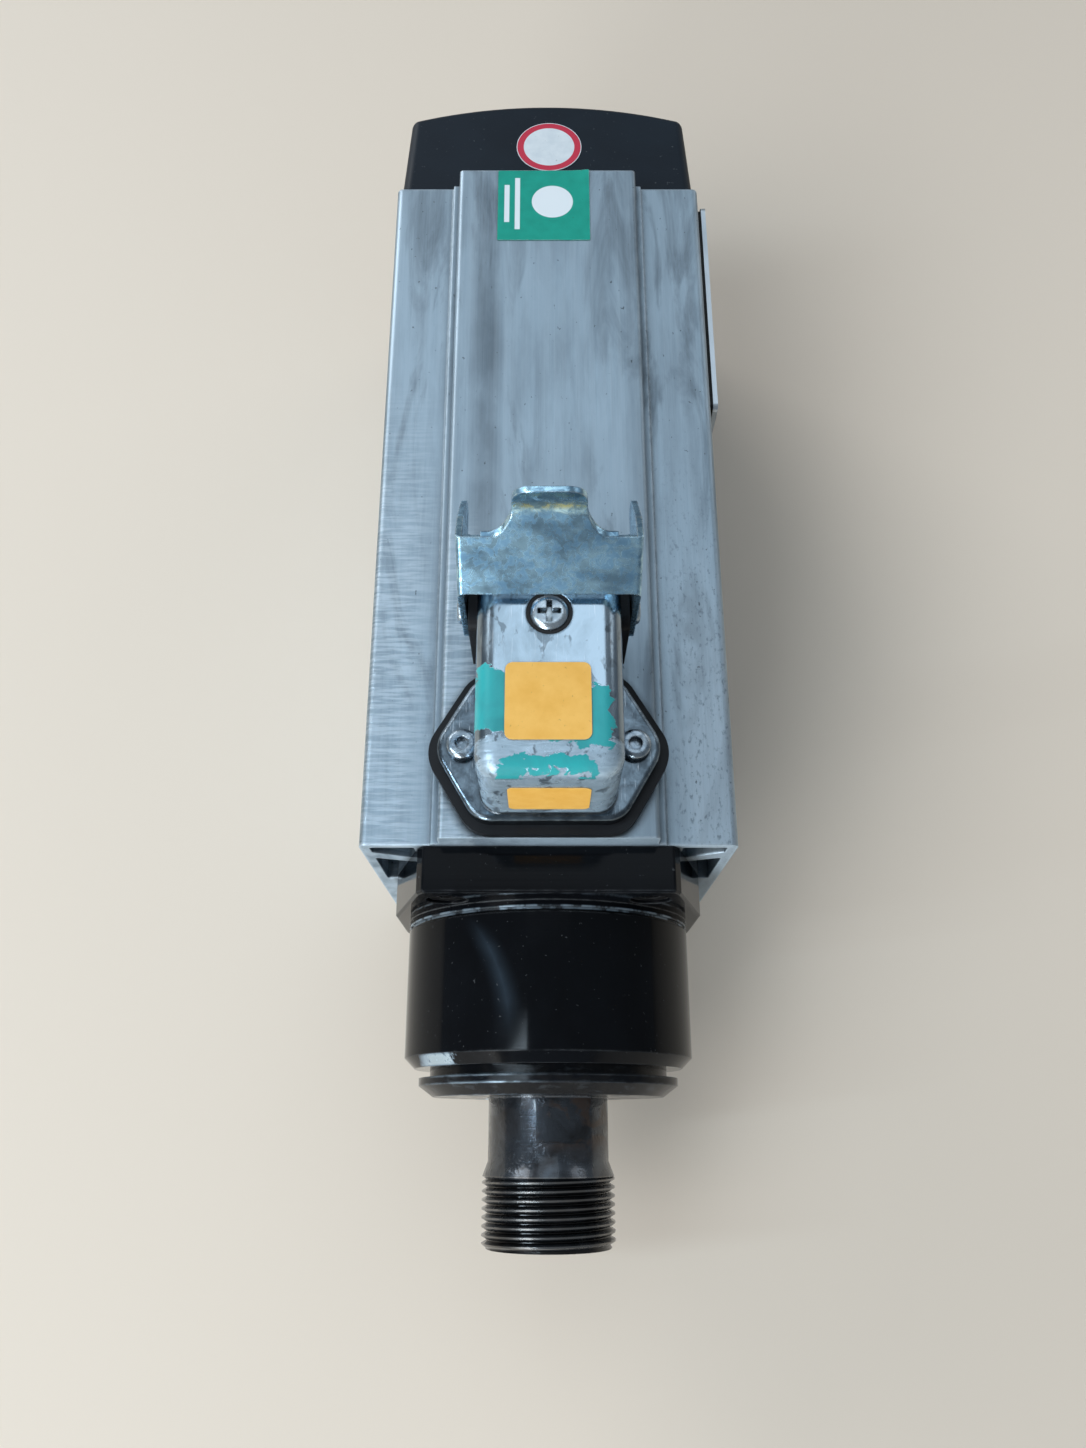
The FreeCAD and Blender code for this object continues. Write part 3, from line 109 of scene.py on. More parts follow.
bpy.ops.object.select_all(action="DESELECT")
bpy.ops.mesh.primitive_plane_add(size=bench_size, location=(0, 0, bench_z))
bench = bpy.context.object
bench.name = "bench_top"
bench_finish, tree, shader = new_finish("bench_paint")
feed(tree, shader, Base_Color=bench_colour, Roughness=bench_roughness)
bench.data.materials.append(bench_finish)

glow = bpy.data.worlds.new("room_glow")
glow.use_nodes = True
glow.node_tree.nodes["Background"].inputs["Color"].default_value = glow_colour
glow.node_tree.nodes["Background"].inputs["Strength"].default_value = glow_strength
bpy.context.scene.world = glow
soft_light("window_light", (-1.42, 1.72, 1.05), 1.35, 1.2, 20, (0.97, 0.99, 1.0))
soft_light("bench_light", (-0.75, -0.55, 0.95), 0.8, 0.8, 7.5, (0.98, 0.99, 1.0))
soft_light("front_window_light", (-0.45, -0.95, 0.24), 0.4, 0.3, 8, (0.85, 0.94, 1.0))
soft_light("right_light", (0.85, 0.8, 0.5), 0.6, 0.5, 1.2, (0.95, 0.98, 1.0))
soft_light("ceiling_light", (0.0, 0.62, 0.95), 0.7, 0.9, 2.0, (0.80, 0.91, 1.0))
soft_light("ceiling_strip_light", (-0.42, -0.02, 0.62), 0.03, 0.5, 1.3, (0.70, 0.87, 1.0))

bpy.ops.object.camera_add(location=camera_place, rotation=(math.radians(90 - camera_drop_degrees), 0, 0))
camera = bpy.context.object
camera.name = "bench_camera"
camera.data.lens = sensor_mm * focal_px / photo_height_px
camera.data.sensor_width = sensor_mm
camera.data.clip_start = 0.01
bpy.context.scene.camera = camera
bpy.context.scene.view_settings.view_transform = "Standard"


# The body: a square aluminium extrusion with a raised pad top and bottom, sawn to length and left bare.
# Die lines and grey oxide smears run along it, its edges are rubbed bright, and its left flank and the
# strip beside the pad have fine crosswise chatter from milling.
aluminium_clean = (0.32, 0.41, 0.485)
aluminium_stained = (0.095, 0.125, 0.155)
aluminium_bright = (0.64, 0.74, 0.82)
# dark grime colour, also used for painted shade in closed-in corners
grime_and_shade_colour = (0.02, 0.021, 0.022)
left_flank_x = -0.021
flank_milling_end_y = 0.11
milled_strip_x = -0.0165
strip_milling_end_y = 0.075
clean_band_x = 0.003
dark_streak_x = -0.0125
right_flank_x = 0.021
step_shadow_x = 0.0185


def mix(tree, mask, first, second, share=None):
    """Colour that goes from first to second as the mask rises, all the way or only to the share given."""
    if share is not None:
        mask = both(tree, mask, share)
    mixer = add_node(tree, "Mix", {0: mask}, data_type="RGBA")
    for place, colour in ((6, first), (7, second)):
        plug(tree, (*colour, 1) if isinstance(colour, tuple) else colour, mixer.inputs[place])
    return mixer.outputs[2]


def stretch(tree, value, low, high, start=0.0, end=1.0):
    """Value moved from the range low to high into start to end, and held there."""
    return add_node(tree, "MapRange", {0: value, 1: low, 2: high, 3: start, 4: end}).outputs[0]


def between(tree, mask, start, end):
    """Value that goes from start to end as the mask rises."""
    return stretch(tree, mask, 0, 1, start, end)


def combine(tree, operation, first, second=0.0):
    """Arithmetic of two values."""
    return add_node(tree, "Math", {0: first, 1: second}, operation=operation).outputs[0]


def both(tree, first, second):
    """The product, which for two masks shows where both do."""
    return combine(tree, "MULTIPLY", first, second)


def either(tree, first, second):
    """The larger value, which for two masks shows where either does."""
    return combine(tree, "MAXIMUM", first, second)


def total(tree, first, second):
    return combine(tree, "ADD", first, second)


def inverse(tree, mask):
    return combine(tree, "SUBTRACT", 1.0, mask)


def near(tree, value, middle, reach, soft):
    """1 where the value lies within reach of the middle, fading to 0 over soft."""
    distance = combine(tree, "ABSOLUTE", combine(tree, "SUBTRACT", value, middle))
    return stretch(tree, distance, reach + soft, reach)


def object_axes(tree):
    """The object's own X, Y and Z, in metres."""
    return add_node(tree, "SeparateXYZ", {0: add_node(tree, "TexCoord").outputs["Object"]}).outputs


def new_effect(name, inputs, outputs):
    """Empty node group with the named number inputs, and outputs given as name and kind."""
    effect = bpy.data.node_groups.new(name, "ShaderNodeTree")
    for label, value in inputs:
        socket = effect.interface.new_socket(label, in_out="INPUT", socket_type="NodeSocketFloat")
        socket.default_value = value
    for label, kind in outputs:
        effect.interface.new_socket(label, in_out="OUTPUT", socket_type="NodeSocket" + kind)
    return effect, effect.nodes.new("NodeGroupInput"), effect.nodes.new("NodeGroupOutput")


def patch_effect():
    """Cloudy patches whose size along each axis is given in metres; Low and High set how many show."""
    sizes = [("Size X", 0.01), ("Size Y", 0.01), ("Size Z", 0.01)]
    shape = [("Detail", 4.0), ("Low", 0.45), ("High", 0.65), ("Warp", 0.0)]
    effect, start, end = new_effect("patches", sizes + shape, [("Mask", "Float")])
    place = add_node(effect, "TexCoord")
    size = add_node(effect, "CombineXYZ", {axis: start.outputs["Size " + axis] for axis in "XYZ"})
    scaled = add_node(
        effect, "VectorMath", {0: place.outputs["Object"], 1: size.outputs[0]}, operation="DIVIDE"
    )
    noise = add_node(
        effect,
        "TexNoise",
        {
            "Vector": scaled.outputs[0],
            "Scale": 1.0,
            "Detail": start.outputs["Detail"],
            "Roughness": 0.6,
            "Distortion": start.outputs["Warp"],
        },
    )
    shaped = stretch(effect, noise.outputs["Fac"], start.outputs["Low"], start.outputs["High"])
    effect.links.new(shaped, end.inputs["Mask"])
    return effect


def edge_effect():
    """Marks corners and edges within Reach, broken up by noise, and gives a normal that rounds them."""
    effect, start, end = new_effect(
        "rubbed_edges",
        [("Reach", 0.0004), ("Strength", 3.0), ("Break Size", 0.002)],
        [("Mask", "Float"), ("Normal", "Vector")],
    )
    round_normal = add_node(effect, "Bevel", {"Radius": start.outputs["Reach"]}, samples=4)
    surface = add_node(effect, "NewGeometry")
    alike = add_node(
        effect,
        "VectorMath",
        {0: round_normal.outputs["Normal"], 1: surface.outputs["Normal"]},
        operation="DOT_PRODUCT",
    )
    bend = inverse(effect, alike.outputs["Value"])
    strong = both(effect, bend, start.outputs["Strength"])
    place = add_node(effect, "TexCoord").outputs["Object"]
    breaks = combine(effect, "DIVIDE", 1.0, start.outputs["Break Size"])
    scaled = add_node(effect, "VectorMath", {0: place, "Scale": breaks}, operation="SCALE")
    noise = add_node(effect, "TexNoise", {"Vector": scaled.outputs[0], "Scale": 1.0, "Detail": 3.0})
    broken = stretch(effect, noise.outputs["Fac"], 0.35, 0.6, 0.15, 1.0)
    mask = add_node(effect, "Math", {0: strong, 1: broken}, operation="MULTIPLY", use_clamp=True)
    effect.links.new(mask.outputs[0], end.inputs["Mask"])
    effect.links.new(round_normal.outputs["Normal"], end.inputs["Normal"])
    return effect


def crevice_dirt_and_shade_effect():
    """Marks corners and gaps that are closed in within Reach, to be painted darker for dirt and for the
    shade that falls there.
    """
    inputs = [("Reach", 0.001), ("Strength", 1.5)]
    effect, start, end = new_effect("crevice_dirt_and_shade", inputs, [("Mask", "Float")])
    openness = add_node(effect, "AmbientOcclusion", {"Distance": start.outputs["Reach"]}, samples=6)
    shut = inverse(effect, openness.outputs["AO"])
    strength = start.outputs["Strength"]
    mask = add_node(effect, "Math", {0: shut, 1: strength}, operation="MULTIPLY", use_clamp=True)
    effect.links.new(mask.outputs[0], end.inputs["Mask"])
    return effect


patches = patch_effect()
rubbed_edges = edge_effect()
crevice_dirt_and_shade = crevice_dirt_and_shade_effect()


def use(tree, effect, output="Mask", **values):
    """Places a shared effect with its own values, underscores for spaces, and gives an output."""
    placed = tree.nodes.new("ShaderNodeGroup")
    placed.node_tree = effect
    for name, value in values.items():
        placed.inputs[name.replace("_", " ")].default_value = value
    return placed.outputs[output]


def patch(tree, size, detail, low, high, warp=0.0):
    """Cloudy patches of a size, or one along each axis: noise under low gives 0, and over high 1."""
    x, y, z = size if isinstance(size, tuple) else (size, size, size)
    shape = {"Detail": detail, "Low": low, "High": high, "Warp": warp}
    return use(tree, patches, Size_X=x, Size_Y=y, Size_Z=z, **shape)


def rubbed(tree, reach, strength, break_size):
    """Edges rubbed within reach, in patches of the break size."""
    return use(tree, rubbed_edges, Reach=reach, Strength=strength, Break_Size=break_size)


def rough_surface(tree, shader, height, strength, depth, rounding=None):
    """Feeds a height into the shader's normal, with edges rounded to the radius given."""
    inputs = {"Height": height, "Strength": strength, "Distance": depth}
    if rounding is not None:
        inputs["Normal"] = use(tree, rubbed_edges, "Normal", Reach=rounding)
    bump = add_node(tree, "Bump", inputs)
    tree.links.new(bump.outputs["Normal"], shader.inputs["Normal"])


def dress(material, *names):
    """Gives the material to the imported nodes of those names."""
    for name in names:
        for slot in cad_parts[name].material_slots:
            slot.material = material


def bare_extrusion():
    material, tree, shader = new_finish("bare_extrusion")
    smears = patch(tree, (0.009, 0.045, 0.02), 6, 0.5, 0.68, warp=0.8)
    cloud = patch(tree, (0.016, 0.035, 0.02), 5, 0.35, 0.7)
    faint = patch(tree, (0.004, 0.03, 0.005), 6, 0.45, 0.75)
    lines = patch(tree, (0.0005, 0.05, 0.0005), 3, 0.3, 0.7)
    chatter = patch(tree, (0.007, 0.0007, 0.012), 3, 0.42, 0.6, warp=0.3)
    grit = patch(tree, (0.0006, 0.0012, 0.0006), 4, 0.56, 0.72)
    nicks = patch(tree, (0.0009, 0.0015, 0.0009), 2, 0.72, 0.75)
    edges = rubbed(tree, 0.0008, 8, 0.0016)
    dirt_and_shade = use(tree, crevice_dirt_and_shade, Reach=0.0018, Strength=1.8)
    across, along = object_axes(tree)[:2]
    facing = add_node(tree, "SeparateXYZ", {0: add_node(tree, "NewGeometry").outputs["Normal"]})
    sawn = stretch(tree, combine(tree, "ABSOLUTE", facing.outputs["Y"]), 0.85, 0.95)

    left_flank = stretch(tree, across, left_flank_x, left_flank_x - 0.006)
    milled = both(tree, left_flank, stretch(tree, along, flank_milling_end_y, flank_milling_end_y - 0.05))
    strip = near(tree, across, milled_strip_x, reach=0.0028, soft=0.0008)
    strip = both(tree, strip, stretch(tree, along, strip_milling_end_y, strip_milling_end_y - 0.02))
    milled = either(tree, milled, both(tree, strip, 0.9))
    clean = near(tree, across, clean_band_x, reach=0.004, soft=0.005)
    smears = both(tree, smears, inverse(tree, both(tree, clean, 0.75)))
    streak = near(tree, across, dark_streak_x, reach=0.001, soft=0.003)
    streak = both(tree, streak, stretch(tree, cloud, 0.1, 0.9, 0.35, 0.95))
    smears = either(tree, smears, streak)
    gritty = both(tree, stretch(tree, across, right_flank_x, right_flank_x + 0.003), grit)
    gritty = both(tree, gritty, stretch(tree, along, 0.10, 0.06))
    # painted shadow: a dark band along the step at the pad's right edge, mixed with the dark smear streak
    step_shadow = near(tree, across, step_shadow_x, reach=0.0015, soft=0.002)
    smear_and_step_shadow = either(tree, both(tree, step_shadow, 0.22), both(tree, streak, 0.35))
    wiped = stretch(tree, across, right_flank_x + 0.001, right_flank_x + 0.006)
    wiped = both(tree, wiped, stretch(tree, along, 0.07, 0.03))

    colour = mix(tree, cloud, aluminium_clean, aluminium_stained, share=0.22)
    colour = mix(tree, smears, colour, aluminium_stained, share=0.7)
    colour = mix(tree, faint, colour, aluminium_stained, share=0.4)
    colour = mix(tree, smear_and_step_shadow, colour, aluminium_stained)
    colour = mix(tree, wiped, colour, aluminium_bright, share=0.3)
    colour = mix(tree, lines, colour, aluminium_bright, share=0.12)
    colour = mix(tree, both(tree, milled, both(tree, chatter, 0.42)), colour, aluminium_bright)
    colour = mix(tree, gritty, colour, aluminium_stained, share=0.6)
    colour = mix(tree, nicks, colour, grime_and_shade_colour, share=0.6)
    colour = mix(tree, edges, colour, aluminium_bright, share=0.7)
    # painted shade: closed-in corners and gaps darkened, together with dirt
    colour = mix(tree, dirt_and_shade, colour, grime_and_shade_colour, share=0.8)
    metal = both(tree, inverse(tree, both(tree, sawn, 0.5)), 0.97)
    rough = total(tree, between(tree, smears, 0.38, 0.52), both(tree, lines, 0.08))
    rough = total(tree, rough, both(tree, sawn, 0.25))
    feed(tree, shader, Base_Color=colour, Metallic=metal, Roughness=rough)
    relief = total(tree, lines, both(tree, both(tree, chatter, milled), 2.5))
    relief = total(tree, relief, both(tree, total(tree, nicks, gritty), -1.0))
    rough_surface(tree, shader, relief, 0.3, 0.00004, rounding=0.0005)
    return material


dress(bare_extrusion(), "motor_housing")


# The front bearing housing: flange and clamping barrel turned from one steel blank, ground, blacked and
# oiled. It is nearly a mirror, with thin turning lines and worn edges. A bent streak of reflected light is
# painted down the top of the barrel, and painted highlights lie on its front chamfer and along its shoulder.
black_steel = (0.003, 0.0035, 0.0045)
hazed_black = (0.007, 0.009, 0.012)
worn_steel = (0.16, 0.17, 0.18)
glint_colour = (0.50, 0.64, 0.76)
streak_reflection_colour = (0.026, 0.038, 0.052)
streak_front_x = -0.007
streak_front_y = -0.0225
streak_bend = 0.0095
chamfer_middle_y = -0.0272
shoulder_y = -0.0013
glint_x = -0.018
streak_starts_y = (-0.026, -0.018)
streak_ends_y = (shoulder_y, -0.008)
streak_ends_z = (0.018, 0.022)


def oiled_black():
    material, tree, shader = new_finish("oiled_black")
    haze = patch(tree, (0.012, 0.02, 0.012), 4, 0.4, 0.75)
    turning = patch(tree, (2.0, 0.00025, 2.0), 2, 0.3, 0.7)
    specks = patch(tree, 0.0009, 2, 0.7, 0.76)
    glint_breakup = patch(tree, (0.0045, 0.05, 0.0045), 5, 0.46, 0.54)
    edges = rubbed(tree, 0.0005, 4, 0.0025)
    across, along, up = object_axes(tree)
    # painted highlights: a glint on the left of the front chamfer and a thin bright line along the shoulder
    chamfer = near(tree, along, chamfer_middle_y, reach=0.0007, soft=0.0004)
    glint = both(tree, both(tree, chamfer, glint_breakup), near(tree, across, glint_x, reach=0.0035, soft=0.0025))
    line = near(tree, along, shoulder_y, reach=0.0002, soft=0.0002)
    glints = either(tree, glint, both(tree, line, between(tree, glint_breakup, 0.03, 0.4)))
    # painted reflection: a bent bluish streak of light down the top of the barrel
    behind = stretch(tree, along, streak_front_y, 0.0)
    bend = both(tree, both(tree, behind, behind), streak_bend)
    smear_and_streak = near(tree, total(tree, across, bend), streak_front_x, reach=0.0, soft=0.0032)
    smear_and_streak = both(tree, smear_and_streak, stretch(tree, along, *streak_starts_y))
    smear_and_streak = both(tree, smear_and_streak, stretch(tree, along, *streak_ends_y))
    smear_and_streak = both(tree, smear_and_streak, stretch(tree, up, *streak_ends_z))
    smear_and_streak = both(tree, smear_and_streak, between(tree, haze, 1.0, 0.6))

    colour = mix(tree, haze, black_steel, hazed_black, share=0.35)
    colour = mix(tree, edges, colour, worn_steel, share=0.5)
    colour = mix(tree, specks, colour, worn_steel, share=0.25)
    colour = mix(tree, both(tree, smear_and_streak, smear_and_streak), colour, streak_reflection_colour)
    colour = mix(tree, glints, colour, glint_colour)
    rough = total(tree, between(tree, haze, 0.05, 0.14), both(tree, specks, 0.3))
    feed(tree, shader, Base_Color=colour, Metallic=both(tree, glints, 0.9), Roughness=rough, IOR=1.19)
    rough_surface(tree, shader, turning, 0.08, 0.00002, rounding=0.0004)
    return material


dress(oiled_black(), "front_bearing_housing")


# The socket screws of the flange and of the rear shield: blackened alloy steel with knurl-free heads,
# their sockets and rims rubbed grey by the key.
def blackened_screw():
    material, tree, shader = new_finish("blackened_screw")
    film = patch(tree, 0.002, 5, 0.4, 0.7)
    edges = rubbed(tree, 0.0003, 5, 0.001)
    colour = mix(tree, film, (0.02, 0.021, 0.023), (0.045, 0.04, 0.036), share=0.5)
    colour = mix(tree, edges, colour, (0.3, 0.31, 0.32))
    feed(tree, shader, Base_Color=colour, Metallic=0.8, Roughness=between(tree, film, 0.28, 0.5))
    rough_surface(tree, shader, film, 0.1, 0.00003)
    return material


screw_black = blackened_screw()
dress(screw_black, "front_housing_screws", "rear_shield_screws")


# The slotted ring that screws into the barrel's mouth and holds the bearings: blacked like the barrel,
# with a bevel and pin holes that the spanner has worn to bare metal in spots.
ring_glint_x = -0.012


def worn_ring():
    material, tree, shader = new_finish("worn_ring")
    turning = patch(tree, (2.0, 0.0002, 2.0), 2, 0.3, 0.7)
    scuffs = patch(tree, (0.004, 0.0015, 0.004), 6, 0.55, 0.68)
    grime = patch(tree, 0.003, 5, 0.4, 0.7)
    edges = rubbed(tree, 0.0006, 6, 0.0018)
    worn = either(tree, edges, both(tree, scuffs, 0.25))
    # painted highlight: bright bluish glints on the ring's edges at its left
    glints = both(tree, edges, near(tree, object_axes(tree)["X"], ring_glint_x, reach=0.005, soft=0.007))
    colour = mix(tree, grime, (0.005, 0.006, 0.008), (0.016, 0.015, 0.014), share=0.6)
    colour = mix(tree, worn, colour, (0.20, 0.23, 0.26), share=0.4)
    colour = mix(tree, glints, colour, glint_colour)
    metal = both(tree, either(tree, worn, glints), 0.6)
    rough = between(tree, grime, 0.1, 0.26)
    feed(tree, shader, Base_Color=colour, Metallic=metal, Roughness=rough, IOR=1.2)
    rough_surface(tree, shader, turning, 0.12, 0.00003, rounding=0.0004)
    return material


dress(worn_ring(), "bearing_retaining_ring")


# The dust seal in the ring's bore: black nitrile rubber with a dull, slightly dusty face.
def rubber(name, colour, dust, dust_share):
    material, tree, shader = new_finish(name)
    bloom = patch(tree, 0.004, 6, 0.35, 0.75)
    skin = patch(tree, 0.0004, 3, 0.3, 0.7)
    shade = mix(tree, bloom, colour, dust, share=dust_share)
    feed(tree, shader, Base_Color=shade, Roughness=between(tree, bloom, 0.42, 0.68), IOR=1.33)
    rough_surface(tree, shader, skin, 0.15, 0.00003)
    return material


dress(rubber("nitrile_rubber", (0.015, 0.015, 0.016), (0.08, 0.078, 0.075), 0.3), "nose_dust_seal")
dress(rubber("screw_seal_rubber", (0.012, 0.012, 0.013), (0.06, 0.06, 0.06), 0.2), "insert_screw_seal")


# The ball bearings and the spacers between them: hardened steel rings ground to a fine lay round the
# axis, and balls lapped to a mirror.
def ground_steel(name, colour, stain, lay, low_rough, high_rough):
    material, tree, shader = new_finish(name)
    grinding = patch(tree, (lay * 400, lay, lay * 400), 2, 0.3, 0.7)
    film = patch(tree, (0.005, 0.004, 0.005), 5, 0.42, 0.72)
    edges = rubbed(tree, 0.0003, 4, 0.002)
    shade = mix(tree, film, colour, stain, share=0.5)
    shade = mix(tree, edges, shade, (0.75, 0.76, 0.77), share=0.4)
    rough = between(tree, film, low_rough, high_rough)
    feed(tree, shader, Base_Color=shade, Metallic=1.0, Roughness=rough)
    rough_surface(tree, shader, grinding, 0.12, 0.00002)
    return material


ring_steel = ground_steel("ground_ring_steel", (0.56, 0.57, 0.58), (0.40, 0.38, 0.34), 0.0001, 0.16, 0.3)
dress(
    ring_steel,
    "front_bearing_1_outer_ring",
    "front_bearing_2_outer_ring",
    "front_bearing_1_inner_ring",
    "front_bearing_2_inner_ring",
    "rear_bearing_outer_ring",
    "rear_bearing_inner_ring",
    "outer_ring_spacer",
    "inner_ring_spacer",
)
ball_steel = ground_steel("lapped_ball_steel", (0.68, 0.69, 0.70), (0.60, 0.59, 0.57), 0.002, 0.04, 0.09)
dress(ball_steel, "front_bearing_1_balls", "front_bearing_2_balls", "rear_bearing_balls")


# The ball cages: tubes of cotton cloth and brown resin, with the weave showing on their cut faces.
def cloth_resin():
    material, tree, shader = new_finish("cloth_resin")
    weave = patch(tree, (0.0006, 0.0003, 0.0006), 1, 0.35, 0.65)
    cloud = patch(tree, 0.006, 4, 0.35, 0.7)
    shade = mix(tree, weave, (0.20, 0.085, 0.03), (0.30, 0.145, 0.055))
    shade = mix(tree, cloud, shade, (0.12, 0.05, 0.02), share=0.4)
    feed(tree, shader, Base_Color=shade, Roughness=between(tree, weave, 0.38, 0.52))
    rough_surface(tree, shader, weave, 0.2, 0.00004)
    return material


dress(cloth_resin(), "front_bearing_1_cage", "front_bearing_2_cage", "rear_bearing_cage")


# The lock washer and slotted nut behind the front bearings: plain turned steel, lightly oiled.
plain_steel = ground_steel("plain_turned_steel", (0.33, 0.34, 0.35), (0.20, 0.18, 0.16), 0.0003, 0.28, 0.42)
dress(plain_steel, "bearing_lock_washer", "bearing_locknut")


# The spindle shaft: turned steel with a collet nose, spanner flats and a rolled M25 x 1.5 thread. Oil and
# soot have darkened it and brown rust shows on the flats. The thread's crests are rubbed bright, with a
# painted highlight on them, and its roots are darker.
thread_pitch = 0.0015
thread_crest_r = 0.0125
thread_root_r = 0.01158
thread_length = 0.0124
thread_chamfer_r = 0.0117
thread_run_out = 0.0007
thread_crest_width = 0.0003
thread_root_width = 0.00146
thread_turns = 10
steps_per_turn = 72
cut_threshold = 0.0000001
merge_distance = 0.000001
ridge_overlap = 0.0001
bright_crest_r = (0.01238, 0.01246)
darker_root_r = (0.0121, 0.0117)
shaft_smooth_degrees = 28
nose_start_y = -0.0333
flats_front_y = -0.043
thread_start_y = -0.0468


def only(piece):
    """Makes the piece the only selected and active object."""
    bpy.ops.object.select_all(action="DESELECT")
    piece.select_set(True)
    bpy.context.view_layer.objects.active = piece


def enter(mode):
    """Puts the active piece in that mode."""
    bpy.ops.object.mode_set(mode=mode)


def edit_all():
    """Opens the active piece for editing, with all of its mesh selected."""
    enter("EDIT")
    bpy.ops.mesh.select_all(action="SELECT")


def pick_vertices(piece, test):
    """In edit mode, selects just the vertices whose place passes the test."""
    bpy.ops.mesh.select_mode(type="VERT")
    bpy.ops.mesh.select_all(action="DESELECT")
    enter("OBJECT")
    for vertex in piece.data.vertices:
        vertex.select = test(vertex.co)
    enter("EDIT")


def merged_copy(node, name):
    """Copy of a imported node's mesh with its loose triangles joined, ready to be shaped further."""
    piece = bpy.data.objects.new(name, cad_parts[node].data.copy())
    bpy.context.scene.collection.objects.link(piece)
    only(piece)
    bpy.ops.mesh.customdata_custom_splitnormals_clear()
    edit_all()
    bpy.ops.mesh.remove_doubles(threshold=merge_distance)
    enter("OBJECT")
    return piece


def from_axis(place):
    return math.hypot(place.x, place.z)


def thread_ridge(tip_y):
    """Helical ridge of the nose thread, cut square at both ends and chamfered at the tip."""
    middle_r = (thread_root_r + thread_crest_r) / 2
    bpy.ops.object.select_all(action="DESELECT")
    bpy.ops.mesh.primitive_plane_add(size=1, location=(middle_r, tip_y - thread_pitch, 0))
    ridge = bpy.context.object
    edit_all()
    depth = thread_crest_r - thread_root_r + ridge_overlap
    bpy.ops.transform.resize(value=(depth, thread_root_width, 1))
    enter("OBJECT")
    bpy.ops.object.transform_apply()
    enter("EDIT")
    pick_vertices(ridge, lambda p: p.x > middle_r)
    bpy.ops.transform.resize(
        value=(1, thread_crest_width / thread_root_width, 1),
        center_override=(middle_r, tip_y - thread_pitch, 0),
    )
    bpy.ops.mesh.select_all(action="SELECT")
    bpy.ops.mesh.delete(type="ONLY_FACE")
    enter("OBJECT")
    winding = ridge.modifiers.new("helix", "SCREW")
    winding.axis = "Y"
    winding.angle = math.tau
    winding.screw_offset = thread_pitch
    winding.iterations = thread_turns
    winding.steps = steps_per_turn
    winding.render_steps = steps_per_turn
    bpy.ops.object.modifier_apply(modifier="helix")
    enter("EDIT")
    end_y = tip_y + thread_length - thread_run_out / 3
    for cut_y, clear_rear in ((tip_y, False), (end_y, True)):
        bpy.ops.mesh.select_all(action="SELECT")
        bpy.ops.mesh.bisect(
            plane_co=(0, cut_y, 0),
            plane_no=(0, 1, 0),
            use_fill=True,
            threshold=cut_threshold,
            clear_inner=not clear_rear,
            clear_outer=clear_rear,
        )
    bpy.ops.mesh.select_all(action="SELECT")
    bpy.ops.mesh.normals_make_consistent(inside=False)
    enter("OBJECT")
    for vertex in ridge.data.vertices:
        limit = thread_chamfer_r + max(vertex.co.y - tip_y, 0)
        reach = from_axis(vertex.co)
        if reach > limit:
            vertex.co.x *= limit / reach
            vertex.co.z *= limit / reach
    return ridge


def threaded_shaft():
    tip_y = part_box("spindle_shaft")[0].y
    thread_end = tip_y + thread_length
    shaft = merged_copy("spindle_shaft", "threaded_spindle_shaft")
    edit_all()
    cut_y = thread_end - thread_run_out
    bpy.ops.mesh.bisect(plane_co=(0, cut_y, 0), plane_no=(0, 1, 0), threshold=cut_threshold)
    neck_y = thread_end - thread_run_out / 2
    inner_r = (thread_crest_r + thread_chamfer_r) / 2
    pick_vertices(shaft, lambda p: p.y < neck_y and from_axis(p) > inner_r)
    shrink = thread_root_r / thread_crest_r
    bpy.ops.transform.resize(value=(shrink, 1, shrink), center_override=(0, 0, 0))
    enter("OBJECT")
    ridge = thread_ridge(tip_y)
    only(shaft)
    ridge.select_set(True)
    bpy.ops.object.join()
    bpy.ops.object.shade_smooth_by_angle(angle=math.radians(shaft_smooth_degrees))
    return shaft


def radius(tree, first, second, middle=(0, 0)):
    """How far the point of those two coordinates lies from the middle."""
    place = add_node(tree, "CombineXYZ", {"X": first, "Y": second})
    ends = {0: place.outputs[0], 1: (*middle, 0)}
    return add_node(tree, "VectorMath", ends, operation="DISTANCE").outputs["Value"]


